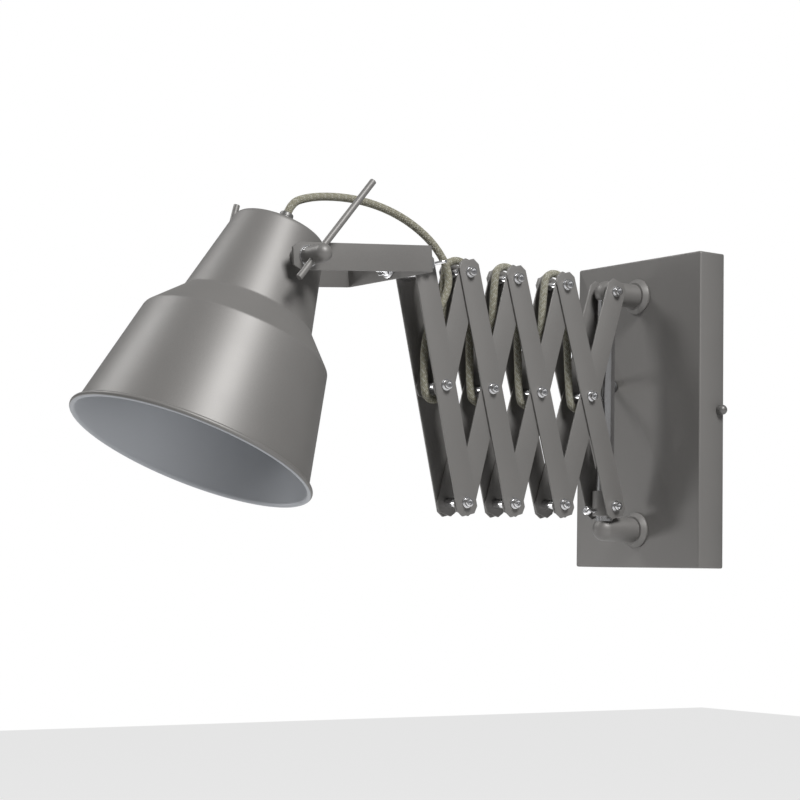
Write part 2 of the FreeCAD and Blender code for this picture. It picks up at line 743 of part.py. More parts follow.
def build_yoke():
    """The strip bent to a U that carries the shade between its arms."""
    body = new_body()
    plan = sketch_on(body, "XY_Plane")
    half, thick = S.yoke_width / 2, S.yoke_thick
    back, front = thick / 2, -S.yoke_reach
    polygon(plan, [(-half, back), (half, back), (half, front), (half - thick, front),
                   (half - thick, -thick / 2), (thick - half, -thick / 2),
                   (thick - half, front), (-half, front)])
    pad(body, plan, S.yoke_height, midplane=True)
    tip = float(front)
    chamfer(body, lambda e: runs_along(e, X_AXIS) and abs(e.Vertexes[0].Y - tip) < 1e-6,
            S.yoke_clip_along, S.yoke_clip_across, flip=True)
    outside = float(half)
    fillet(body, lambda e: runs_along(e, Z_AXIS) and abs(abs(e.Vertexes[0].X) - outside) < 1e-6
           and e.Vertexes[0].Y > 0, S.yoke_bend)
    bolt = sketch_on(body, "XZ_Plane")
    circle(bolt, S.bolt_radius + 0.15)
    pocket(body, bolt, S.yoke_thick * 4, midplane=True)
    studs = sketch_on(body, "YZ_Plane")
    circle(studs, S.stud_radius + 0.1, -S.yoke_pivot, 0)
    pocket(body, studs, S.yoke_width * 2, midplane=True)
    body.Placement = head_place(0, -float(S.yoke_forward), 0)
    return node(body, "yoke")


# ---- Shade ----

def shade_solid(inset):
    """The shade's outline turned to a solid, drawn in by an inset."""
    drop = inset * 0.4
    top, neck, shoulder, rim = S.top_up, -S.neck_down, -S.shoulder_down, -S.rim_down
    body = new_body()
    outline = sketch_on(body, "XZ_Plane")
    below = rim - inset * 4
    polygon(outline, [(0, top - inset), (S.top_radius - inset, top - inset),
                      (S.neck_radius - inset, neck - drop),
                      (S.shoulder_radius - inset, shoulder - drop),
                      (S.rim_radius - inset, rim), (S.rim_radius - inset, below), (0, below)]
            if float(inset) else
            [(0, top), (S.top_radius, top), (S.neck_radius, neck),
             (S.shoulder_radius, shoulder), (S.rim_radius, rim), (0, rim)])
    revolve(body, outline)

    def ring_at(height):
        return lambda e: len(e.Vertexes) == 1 and abs(e.Vertexes[0].Z - float(height)) < 1e-3

    fillet(body, ring_at(top - inset), S.top_round - inset)
    fillet(body, ring_at(neck - drop), S.shoulder_round + inset)
    fillet(body, ring_at(shoulder - drop), S.shoulder_round - inset)
    return body


def build_shade():
    """The spun shade: flat top, flared neck, coned shoulder, drum and rolled rim."""
    bead = doc.addObject("Part::Torus", "bead")
    bead.Placement = place(0, 0, -S.rim_down)
    bind(bead, Radius1=S.rim_radius + S.bead_radius * 0.5, Radius2=S.bead_radius)
    wall = cut(shade_solid(of(0)), shade_solid(S.shade_sheet))
    width = S.neck_radius * 3
    shade = cut(fuse(wall, bead), rod(S.nipple_radius + 0.1, 20, (0, 0, float(S.top_up) - 10)),
                rod(S.stud_radius + 0.05, width, (-float(width) / 2, 0, 0), "+X"))
    return node(moved(shade, shade_place()), "shade")


def neck_solid(grow):
    """The neck's cone as a tool, a little larger or smaller than the spun wall."""
    length = S.neck_down + S.top_up
    return cone(S.neck_radius + grow, S.top_radius + grow, length, (0, 0, -float(S.neck_down)))


def build_shade_studs():
    """The bolts that stand out of the neck, with their heads inside."""
    inner = float(S.top_radius) + 2.7
    bolts = []
    for side, axis in ((1, "+X"), (-1, "-X")):
        head = prism(5.6, 3.6, (side * (inner - 3.6), 0, 0), axis)
        shank = rod(S.stud_radius, 61 - inner, (side * inner, 0, 0), axis)
        bolts.append(moved(fuse(head, shank), shade_place()))
    return node(group(*bolts), "shade_studs")


def build_stud_bushes():
    """The bushes between neck and yoke, coped to the neck's cone."""
    arm_face = S.yoke_width / 2 - S.yoke_thick
    bushes = []
    for side, axis in ((1, "+X"), (-1, "-X")):
        start = 38
        tube = rod(S.bush_radius, arm_face - 0.1 - start, (side * start, 0, 0), axis)
        bore = rod(S.stud_radius + 0.1, 30, (side * (start - 5), 0, 0), axis)
        bushes.append(moved(cut(tube, bore, neck_solid(0.2)), shade_place()))
    return node(group(*bushes), "stud_bushes")


def build_clamp_washers():
    outside = S.yoke_width / 2 + 0.1
    washers = []
    for side, axis in ((1, "+X"), (-1, "-X")):
        disc = rod(S.clamp_washer_radius, S.clamp_washer_thick, (side * float(outside), 0, 0), axis)
        hole = rod(S.stud_radius + 0.1, 4, (side * (float(outside) - 1), 0, 0), axis)
        washers.append(moved(cut(disc, hole), shade_place()))
    return node(group(*washers), "clamp_washers")


def build_handle(name, side, turn, offset):
    """A tommy-bar handle: a ball-ended hub on the stud, and a bar that slides through it."""
    axis = "+X" if side > 0 else "-X"
    start = float(S.yoke_width / 2 + S.clamp_washer_thick) + 0.2
    length = float(S.hub_length)
    hub = fuse(rod(S.hub_radius, S.hub_length, (side * start, 0, 0), axis),
               ball(S.hub_radius, (side * (start + length), 0, 0)))
    bore = rod(S.stud_radius + 0.05, 5, (side * (start - 1), 0, 0), axis)
    across = side * float(S.rod_across)
    lean = turn_x(float(turn))
    way = rod(S.rod_radius + 0.06, 60, (across, 0, -30))
    way.Placement = FreeCAD.Placement(lean.multVec(vec(0, 0, -30)) + vec(across), lean)
    hub_node = cut(hub, bore, way)
    hub_node.Placement = FreeCAD.Placement(SHADE_PIVOT, FreeCAD.Rotation())
    node(hub_node, f"handle_hub_{name}")
    bar = turned([(0, 0), (S.rod_radius - 0.5, 0), (S.rod_radius, 0.5),
                  (S.rod_radius, S.rod_length - 0.5), (S.rod_radius - 0.5, S.rod_length),
                  (0, S.rod_length)], f"handle_rod_{name}")
    low = lean.multVec(vec(0, 0, float(offset) - float(S.rod_length) / 2))
    bar.Placement = FreeCAD.Placement(SHADE_PIVOT + low + vec(across), lean)


def build_gland():
    """The cable gland on the shade's top: a plain barrel with a smaller cap."""
    base = S.top_up + 0.05
    cap = base + S.gland_height - 4
    bore = S.cable_radius + 0.1
    seat = S.nipple_radius + 0.05
    body = turned([(seat, base), (S.gland_radius, base), (S.gland_radius, cap),
                   (S.gland_cap, cap + 1), (S.gland_cap, base + S.gland_height),
                   (bore, base + S.gland_height), (bore, base + 8), (seat, base + 8)],
                  "cable_gland")
    body.Placement = shade_place()
    return body


def build_lampholder():
    """The lampholder under the top: nipple, insulating body, and brass contacts."""
    top, radius, mouth = S.holder_top, S.holder_radius, S.socket_radius
    nipple = turned([(3.3, top - 6), (S.nipple_radius, top - 6), (S.nipple_radius, S.top_up + 7.5),
                     (3.3, S.top_up + 7.5)], "holder_nipple")
    floor = top - S.holder_length + S.socket_depth
    holder = turned([(S.nipple_radius + 0.05, top), (13, top), (radius - 2, top - 9),
                     (radius - 2, top - 24), (radius, top - 25), (radius, top - S.holder_length),
                     (mouth + S.shell_wall + 0.1, top - S.holder_length),
                     (mouth + S.shell_wall + 0.1, floor), (S.nipple_radius + 0.05, floor)],
                    "lampholder")
    rest = floor - 1 - S.shell_length
    shell = turned([(mouth, rest), (mouth + S.shell_wall, rest), (mouth + S.shell_wall, floor - 0.1),
             (0, floor - 0.1), (0, floor - 0.7), (mouth, floor - 0.7)], "holder_contacts")
    for piece in (nipple, holder, shell):
        piece.Placement = shade_place()


# ---- Cable ----

def rounded_path(points):
    """Straight runs joined by tangent arcs, each arc as large as its runs allow."""
    edges, radii, start = [], [], points[0]
    for before, corner, after in zip(points, points[1:], points[2:]):
        into, out = corner - before, after - corner
        turn = into.getAngle(out)
        room = 0.45 * min(into.Length, out.Length)
        radii.append(room / math.tan(turn / 2))
        a = corner - into.normalize() * room
        b = corner + out.normalize() * room
        inward = ((a + b) * 0.5 - corner).normalize()
        depth = radii[-1] / math.cos(turn / 2) - radii[-1]
        edges += [Part.LineSegment(start, a).toShape(),
                  Part.Arc(a, corner + inward * depth, b).toShape()]
        start = b
    edges.append(Part.LineSegment(start, points[-1]).toShape())
    print("cable radii", [round(r, 1) for r in radii])
    return Part.Wire(edges)


def build_cable(label, points):
    """A plain round cable along a route."""
    path = rounded_path(points)
    heading = points[1] - points[0]
    ring = Part.Wire(Part.Circle(points[0], heading, float(S.cable_radius)).toShape())
    tube = path.makePipeShell([ring], True, False)
    wanted = math.pi * float(S.cable_radius) ** 2 * path.Length
    print(label, "length", round(path.Length, 1), "volume share", round(tube.Volume / wanted, 4))
    piece = doc.addObject("Part::Feature", label)
    piece.Shape = tube
    return node(piece, label)


ARC_END = (2, MIDDLE[1][0] - 13, 28)


def arc_route():
    """The free cable, from the gland over the yoke and down to the first cell."""
    tip = S.top_up + S.gland_height + 0.15
    gland_tip = SHADE_TURN.multVec(vec(0, 0, tip)) + SHADE_PIVOT
    over = [(0, -378.8, 135.6), (0, -366.5, 140.9), (0, -348, 144.6), (0, -322, 146),
            (0.5, -294, 142.4), (1.2, -268, 133.4), (2.4, -245.5, 118.5), (3.6, -231.8, 99.2),
            (3.8, -233.6, 79.5), (2, ARC_END[1], 49), ARC_END]
    return [gland_tip] + [vec(*point) for point in over]


def loop(centre_y, centre_z, radius, way, across=(0, 0)):
    """Four corners of a half-turn under a pivot (way -1) or over one (way 1)."""
    short = radius * math.tan(math.radians(22.5))
    corners = [(-radius, short), (-short, radius), (short, radius), (radius, short)]
    route = []
    for step, (y, z) in enumerate(corners):
        x = across[0] + (across[1] - across[0]) * step / 3
        route.append(vec(x, centre_y + y, centre_z + way * z))
    return route


def woven_route():
    """The cable under each middle pivot and over each top one, then round the tube."""
    points = [vec(*ARC_END)]
    beside = {1: (2, -3.6)}
    for cell in range(1, CELLS + 1):
        y, z = MIDDLE[cell]
        points += loop(y - 2.2, z, 10.8, -1, beside.get(cell, (0, 0)))
        if cell < CELLS:
            y, z = TOP[cell]
            points += loop(y - 1.8, z - 2, 12.2, 1, (-3.6, 0) if cell == 1 else (0, 0))
    points[-1] = vec(-1.5, points[-1].y, points[-1].z)
    x, z = float(S.grommet_across), float(S.grommet_up)
    points += [vec(-13.4, -67, 13), vec(-25, -49, 22), vec(x, -37, z), vec(x, -16, z),
               vec(x, -9.5, 13), vec(x + 4, -8.5, 1)]
    return points


def check_scissor():
    """Open the scissor in steps and see how far each foot pivot drifts from its screw."""
    reach = float(S.open_angle) - float(S.wall_cell_angle)
    worst = 0
    for step in range(21):
        share = step / 20
        lean = {c: cell_angle(c) + share * (float(S.open_angle) - cell_angle(c))
                for c in range(1, CELLS + 1)}
        for cell in range(2, CELLS + 1):
            down, next_down = arm(lean[cell])[1], arm(lean[cell - 1])[1]
            extra_out, extra_down = arm(lean[cell], float(S.foot_offset))
            next_out, next_up = arm(lean[cell - 1], float(S.foot_offset))
            screw = (-extra_out, -2 * down - extra_down)
            hole = (-next_out, -2 * next_down + next_up)
            worst = max(worst, math.dist(screw, hole))
    print("opening", round(reach, 2), "worst drift at a foot pivot", round(worst, 3),
          "play", float(S.foot_play))
    if worst > float(S.foot_play) - 0.05:
        raise RuntimeError("the foot pivots need more play")


def build_all():
    build_wall_box()
    build_wall_bracket()
    build_side_screws()
    build_terminal_block()
    build_grommet()
    build_post("upper_post", S.post_up, -1)
    build_post("lower_post", -S.post_up, 1)
    build_flanges()
    build_post_bolts()
    build_slide_tube()
    build_collar()
    build_lock_screw()
    build_bars()
    build_pivots()
    build_head_block()
    build_pivot_stud()
    build_head_washers()
    build_wing_nut("wing_nut_near", 1)
    build_wing_nut("wing_nut_far", -1)
    build_yoke_bolt()
    build_yoke_nut()
    build_yoke()
    build_shade()
    build_shade_studs()
    build_stud_bushes()
    build_clamp_washers()
    build_handle("near", 1, S.near_rod_turn, S.near_rod_offset)
    build_handle("far", -1, S.far_rod_turn, S.far_rod_offset)
    build_gland()
    build_lampholder()
    build_cable("cable_arc", arc_route())
    build_cable("scissor_cable", woven_route())


def export_all():
    """Check every object and write each sub-part's shape to its own file."""
    doc.recompute()
    for obj in doc.Objects:
        if "Invalid" in obj.State or "Error" in obj.State:
            raise RuntimeError(f"{obj.Label} failed: {obj.State}")
    labels = [obj.Label for obj in NODES]
    if len(set(labels)) != len(labels):
        raise RuntimeError("two sub-parts share a label")
    os.makedirs("parts", exist_ok=True)
    for obj in NODES:
        if obj.Shape.isNull() or not obj.Shape.isValid():
            raise RuntimeError(f"{obj.Label} has no valid shape")
        obj.Shape.exportStep(f"parts/{obj.Label}.step")
    print("sub-parts", len(NODES))


check_scissor()
build_all()
export_all()
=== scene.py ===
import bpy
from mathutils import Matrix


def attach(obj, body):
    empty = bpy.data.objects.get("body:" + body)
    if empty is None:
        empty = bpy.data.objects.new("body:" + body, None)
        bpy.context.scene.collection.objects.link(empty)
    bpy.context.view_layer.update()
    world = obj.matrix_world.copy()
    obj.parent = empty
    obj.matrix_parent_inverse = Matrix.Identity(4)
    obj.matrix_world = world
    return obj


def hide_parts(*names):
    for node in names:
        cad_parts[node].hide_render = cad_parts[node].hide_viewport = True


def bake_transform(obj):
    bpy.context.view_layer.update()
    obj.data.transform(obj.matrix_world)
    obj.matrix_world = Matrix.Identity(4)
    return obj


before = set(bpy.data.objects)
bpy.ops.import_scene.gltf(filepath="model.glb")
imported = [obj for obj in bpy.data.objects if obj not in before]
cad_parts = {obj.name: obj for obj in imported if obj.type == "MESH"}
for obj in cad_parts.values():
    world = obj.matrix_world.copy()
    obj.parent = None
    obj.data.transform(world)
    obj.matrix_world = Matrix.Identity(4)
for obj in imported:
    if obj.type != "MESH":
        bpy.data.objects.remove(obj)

"""Dresses the accordion wall lamp: its painted bars, spun shade, chrome fittings and braided cable.

Sizes are millimetres in the row frame, turned to metres as each piece is made. X runs along
the wall, Y into it and Z up; the lamp stands out towards -Y.
"""

import logging
import math
from dataclasses import dataclass, field
from enum import Enum
from typing import Callable, Iterable, Sequence

import bpy
import numpy as np
from mathutils import Matrix, Vector

MM = 0.001
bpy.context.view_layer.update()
log = logging.getLogger("wall_lamp")


# ---- Surfaces ----

class Side(Enum):
    """Which side of the lamp a paired piece is on."""

    NEAR = 1
    FAR = -1


class Axis(Enum):
    """Rotations of +Z to the near side, the far side or out from the wall, and UPRIGHT, which
    stands a flat outline up in Y and Z."""

    NEAR = ((0, 0, 1), (0, 1, 0), (-1, 0, 0))
    FAR = ((0, 0, -1), (0, 1, 0), (1, 0, 0))
    OUT = ((1, 0, 0), (0, 0, -1), (0, 1, 0))
    UPRIGHT = ((0, 0, 1), (1, 0, 0), (0, 1, 0))

    @property
    def matrix(self) -> np.ndarray:
        """The rotation as an array."""
        return np.array(self.value, float)


def sideways(side: int) -> Axis:
    """The axis that points away from the lamp's middle on a side."""
    return Axis.NEAR if side > 0 else Axis.FAR


def about_x(degrees: float) -> np.ndarray:
    """A rotation about X."""
    c, s = math.cos(math.radians(degrees)), math.sin(math.radians(degrees))
    return np.array([[1, 0, 0], [0, c, -s], [0, s, c]])


def circle(columns: int) -> np.ndarray:
    """Angles spread evenly round a circle."""
    return np.arange(columns) * 2 * math.pi / columns


def unit(rows: np.ndarray) -> np.ndarray:
    """Each row at length 1."""
    return rows / np.linalg.norm(rows, axis=-1, keepdims=True)


def run(points: np.ndarray) -> np.ndarray:
    """How far along a line of points each one stands."""
    return np.append(0, np.cumsum(np.linalg.norm(np.diff(points, axis=0), axis=1)))


@dataclass
class Surface:
    """Points, faces and each face corner's place on the surface.

    Args:
        points: One row of x, y, z for each vertex.
        faces: Arrays of vertex numbers, one array for each number of sides.
        spots: The faces' corner places (along, around), in the faces' order.
    """

    points: np.ndarray
    faces: list[np.ndarray]
    spots: list[np.ndarray]

    def volume(self) -> float:
        """Signed volume: the sum over the faces' fans of the triple product over six."""
        total = 0.0
        for face in self.faces:
            first = self.points[face[:, 0]]
            for k in range(1, face.shape[1] - 1):
                second, third = self.points[face[:, k]], self.points[face[:, k + 1]]
                total += float(np.einsum("ij,ij->i", first, np.cross(second, third)).sum())
        return total / 6

    def outward(self) -> "Surface":
        """The same surface with its faces turned outwards."""
        if self.volume() >= 0:
            return self
        return Surface(self.points, [f[:, ::-1] for f in self.faces],
                       [s[:, ::-1] for s in self.spots])

    def turned(self, turn: np.ndarray) -> "Surface":
        """The surface turned about the origin by a 3 by 3 rotation."""
        return Surface(self.points @ turn.T, self.faces, self.spots)

    def moved(self, shift: Sequence[float], turn: np.ndarray | None = None) -> "Surface":
        """The surface, turned about the origin if a rotation is given, and then shifted."""
        start = self if turn is None else self.turned(turn)
        return Surface(start.points + np.asarray(shift, float), self.faces, self.spots)

    def __add__(self, other: "Surface") -> "Surface":
        """Both surfaces as one."""
        count = len(self.points)
        return Surface(np.vstack([self.points, other.points]),
                       self.faces + [f + count for f in other.faces],
                       self.spots + other.spots)


def joined(surfaces: Iterable[Surface]) -> Surface:
    """Several surfaces as one."""
    surfaces = list(surfaces)
    total = surfaces[0]
    for surface in surfaces[1:]:
        total = total + surface
    return total


def grid(points: np.ndarray, along: np.ndarray | None = None, loop_rows: bool = False,
         cap: bool = True) -> Surface:
    """A closed skin over rows of points, where each row is a ring.

    Face (i, j) joins points (i, j), (i + 1, j), (i + 1, j + 1) and (i, j + 1), counted round
    the ring.

    Args:
        points: Rows by columns by three.
        along: Each row's place along the surface, in metres.
        loop_rows: Whether the last row joins the first.
        cap: Whether the first and last rings are closed with a flat face.

    Returns:
        The skin, with its faces outwards.
    """
    rows, columns = points.shape[:2]
    along = np.arange(rows) / rows if along is None else np.asarray(along, float)
    number = np.arange(rows * columns).reshape(rows, columns)
    if loop_rows:
        number = np.vstack([number, number[:1]])
        along = np.append(along, along[-1] * 2 - along[-2])
    right = np.roll(number, -1, axis=1)
    quads = np.stack([number[:-1], number[1:], right[1:], right[:-1]], axis=-1)
    around = np.broadcast_to(np.arange(columns) / columns, quads.shape[:2])
    step = 1 / columns
    low = np.broadcast_to(along[:-1, None], around.shape)
    high = np.broadcast_to(along[1:, None], around.shape)
    spots = np.stack([np.stack([low, around], -1), np.stack([high, around], -1),
                      np.stack([high, around + step], -1), np.stack([low, around + step], -1)], 2)
    faces, places = [quads.reshape(-1, 4)], [spots.reshape(-1, 4, 2)]
    if cap and not loop_rows:
        for ring, flip in ((0, 1), (rows - 1, -1)):
            faces.append(number[ring][None, ::flip])
            places.append(np.tile([along[ring], 0.5], (1, columns, 1)))
    return Surface(points.reshape(-1, 3), faces, places).outward()


def rounded(corners: Sequence[Sequence[float]], radii: float | Sequence[float],
            closed: bool = False, steps: int = 4) -> np.ndarray:
    """An outline whose corners are replaced by arcs.

    An arc of radius r starts r times the tangent of half the turn from its corner, and its
    points are spread evenly between its two ends, on a quadratic curve through the corner.

    Args:
        corners: The outline's corners, two numbers each.
        radii: One radius for all the corners, or one for each.
        closed: Whether the last corner joins the first.
        steps: Spans in each arc.

    Returns:
        The outline's points.
    """
    corners = np.asarray(corners, float)
    radii = np.broadcast_to(np.asarray(radii, float), len(corners))
    share = np.linspace(0, 1, steps + 1)[:, None]
    found = []
    for index, corner in enumerate(corners):
        ends = not closed and index in (0, len(corners) - 1)
        if ends or radii[index] <= 0:
            found.append(corner[None])
            continue
        into = corners[index - 1] - corner
        out = corners[(index + 1) % len(corners)] - corner
        lengths = np.linalg.norm(into), np.linalg.norm(out)
        into, out = into / lengths[0], out / lengths[1]
        turn = math.pi - math.acos(max(-1, min(1, float(into @ out))))
        reach = min(radii[index] * math.tan(turn / 2), lengths[0] * 0.49, lengths[1] * 0.49)
        a, b = corner + into * reach, corner + out * reach
        found.append(a * (1 - share) ** 2 + corner * 2 * share * (1 - share) + b * share ** 2)
    return np.vstack(found)


def spun(profile: np.ndarray, columns: int = 48, ring: bool = False) -> Surface:
    """A profile of (radius, height) turned about Z: x = r cos t, y = r sin t, z = h.

    Args:
        profile: Rows of radius and height; a radius of 0 ends as a flat cap.
        columns: Points round the circle.
        ring: Whether the profile is a closed loop, as of a washer.

    Returns:
        The turned surface, with its length along the profile in metres.
    """
    profile = np.asarray(profile, float)
    if not ring:
        profile = profile[profile[:, 0] > 1e-9]
    angle = circle(columns)
    points = np.stack([profile[:, :1] * np.cos(angle), profile[:, :1] * np.sin(angle),
                       np.broadcast_to(profile[:, 1:], (len(profile), columns))], -1)
    return grid(points, run(profile) * MM, loop_rows=ring)


def lathe(corners: Sequence[Sequence[float]], radii: float | Sequence[float], columns: int = 48,
          steps: int = 3, ring: bool = False) -> Surface:
    """A profile of (radius, height) with rounded corners turned about Z.

    Args:
        corners: The profile's corners.
        radii: One radius for all the corners, or one for each.
        columns: Points round the circle.
        steps: Spans in each rounded corner.
        ring: Whether the profile is a closed loop.

    Returns:
        The turned surface.
    """
    return spun(rounded(corners, radii, closed=ring, steps=steps), columns, ring)


def pin(radius: float, low: float, high: float, edge: float, columns: int = 32,
        steps: int = 2, flat: float = 0.5) -> Surface:
    """A round bar along Z between two heights, with eased edges and a flat cap at its middle."""
    return lathe([(flat, low), (radius, low), (radius, high), (flat, high)],
                 [0, edge, edge, 0], columns, steps)


def washer(radius: float, bore: float, thick: float, columns: int = 32,
           edge: float = 0.2) -> Surface:
    """A flat ring from height 0 up, with its outer edges eased."""
    return lathe([(bore, 0), (radius, 0), (radius, thick), (bore, thick)],
                 [0, edge, edge, 0], columns, 2, ring=True)


def plate(outline: np.ndarray, thick: float, edge: float = 0.25, steps: int = 2) -> Surface:
    """A flat piece from height 0 up, with rounded edges all round.

    Each ring is the outline drawn in along its corners' mitre lines: by the edge radius on the
    faces, and by r (1 - sin t) round the edge.

    Args:
        outline: Rows of x and y, counted round.
        thick: The plate's thickness.
        edge: The radius of its edges.
        steps: Spans round each edge.

    Returns:
        The plate.
    """
    outline = np.asarray(outline, float)
    before, after = outline - np.roll(outline, 1, 0), np.roll(outline, -1, 0) - outline
    before, after = unit(before), unit(after)
    normal = unit(np.stack([-(before + after)[:, 1], (before + after)[:, 0]], 1))
    lean = np.stack([-after[:, 1], after[:, 0]], 1)
    normal /= np.clip(np.einsum("ij,ij->i", normal, lean), 0.4, 1)[:, None]
    area = np.sum(outline[:, 0] * np.roll(outline[:, 1], -1)
                  - outline[:, 1] * np.roll(outline[:, 0], -1))
    inward = normal if area > 0 else -normal
    angle = np.linspace(0, math.pi / 2, steps + 1)
    inset = edge * (1 - np.sin(angle))
    height = edge * (1 - np.cos(angle))
    inset = np.concatenate([inset, inset[::-1]])
    height = np.concatenate([height, thick - height[::-1]])
    flat = outline[None] + inward[None] * inset[:, None, None]
    points = np.concatenate([flat, np.broadcast_to(height[:, None, None],
                                                   flat.shape[:2] + (1,))], -1)
    return grid(points, height * MM)


def hexagon(across: float, angle: np.ndarray) -> np.ndarray:
    """A hexagon's radius at each angle, from half its width across flats."""
    return across / np.cos(np.mod(angle, math.pi / 3) - math.pi / 6)


def ringed(rows: Sequence[tuple[float | np.ndarray, float]], angle: np.ndarray) -> np.ndarray:
    """A ring of points for each radius and height; a radius may change round its ring."""
    return np.stack([np.stack([r * np.cos(angle), r * np.sin(angle), np.full(len(angle), h)], -1)
                     for r, h in rows])


def domed(foot: Sequence[tuple[float, float]], radius: float, start: float, rise: float,
          rings: int, columns: int, flat: float = 0.1, top: float = 0.9995) -> Surface:
    """A round bar along Z that ends in a dome: radius cos t, at height start + rise sin t.

    Args:
        foot: The profile below the dome.
        radius: The dome's radius where it starts.
        start: The height where it starts.
        rise: How far it rises.
        rings: Rings up to its top.
        columns: Points round it.
        flat: The radius of the small flat that closes it.
        top: The flat's height, as a share of the rise.

    Returns:
        The bar.
    """
    dome = [(radius * math.cos(a), start + rise * math.sin(a))
            for a in np.linspace(0, math.pi / 2, rings)[:-1]]
    return spun([*foot, *dome, (flat, start + rise * top)], columns)


def screw_head(radius: float, high: float, across: float, deep: float) -> Surface:
    """A cap screw's head from height 0 up, with a hexagon socket in its top.

    The rings go from a circle to a hexagon, whose radius is across / cos(t mod 60 - 30).

    Args:
        radius: The head's radius.
        high: Its height.
        across: Half the socket's width across flats.
        deep: The socket's depth.

    Returns:
        The head.
    """
    angle = circle(36)
    socket = hexagon(across, angle)
    ease = min(0.45, high * 0.15)
    rows = [(radius - 0.15, 0), (radius, 0.15), (radius, high - ease),
            (radius - ease * 0.3, high - ease * 0.3), (radius - ease, high),
            (socket + 0.25, high), (socket, high - 0.25), (socket, high - deep)]
    return grid(ringed(rows, angle))


def nut(across: float, thick: float, bore: float) -> Surface:
    """A hexagon nut from height 0 up, its corners eased by a cone, and bored through.

    Each ring's radius is the smaller of the hexagon's and of a cone that starts at the flats.

    Args:
        across: Half its width across flats.
        thick: Its thickness.
        bore: The bore's radius.

    Returns:
        The nut.
    """
    angle = circle(48)
    rows = []
    for rise in (0, 0.12, 0.25, 0.75, 0.88, 1):
        level = thick * rise
        cone = across * 0.97 + min(level, thick - level) * 1.7
        rows.append((np.minimum(hexagon(across, angle), cone), level))
    return grid(ringed(rows + [(bore, thick), (bore, 0)], angle), loop_rows=True)


def swept(path: np.ndarray, radius: float, columns: int = 20, start: float = 0.0) -> Surface:
    """A round tube along a path, in metres.

    Each ring lies across the path's direction. Its first axis is the last ring's, with the part
    along the path taken out, so the tube doesn't twist.

    Args:
        path: Points along the middle.
        radius: The tube's radius.
        columns: Points round it.
        start: How far along the cable the path starts.

    Returns:
        The tube.
    """
    path = np.asarray(path, float)
    heading = unit(np.gradient(path, axis=0))
    across = np.zeros_like(path)
    last = np.array([1.0, 0, 0])
    for index, direction in enumerate(heading):
        last = last - direction * (last @ direction)
        last /= np.linalg.norm(last)
        across[index] = last
    other = np.cross(heading, across)
    angle = circle(columns)
    points = path[:, None] + radius * (across[:, None] * np.cos(angle)[None, :, None]
                                       + other[:, None] * np.sin(angle)[None, :, None])
    return grid(points, start + run(path))


# ---- Finishes ----

def operator(kind: str) -> Callable[..., "Wave"]:
    """A method that adds one kind of Math node."""
    return lambda wave, *others: wave.nodes.math(kind, wave, *others)


class Wave:
    """A shader socket whose operators and methods each add a Math node."""

    def __init__(self, nodes: "Nodes", socket: bpy.types.NodeSocket) -> None:
        """Keep the tree's helper and the socket."""
        self.nodes, self.socket = nodes, socket

    def __rsub__(self, other: float) -> "Wave":
        """Difference from a number."""
        return self.nodes.math("SUBTRACT", other, self)

    __add__, __sub__ = operator("ADD"), operator("SUBTRACT")
    __mul__, __pow__ = operator("MULTIPLY"), operator("POWER")
    sine, floor, part = operator("SINE"), operator("FLOOR"), operator("FRACT")
    above, least, most = operator("GREATER_THAN"), operator("MINIMUM"), operator("MAXIMUM")


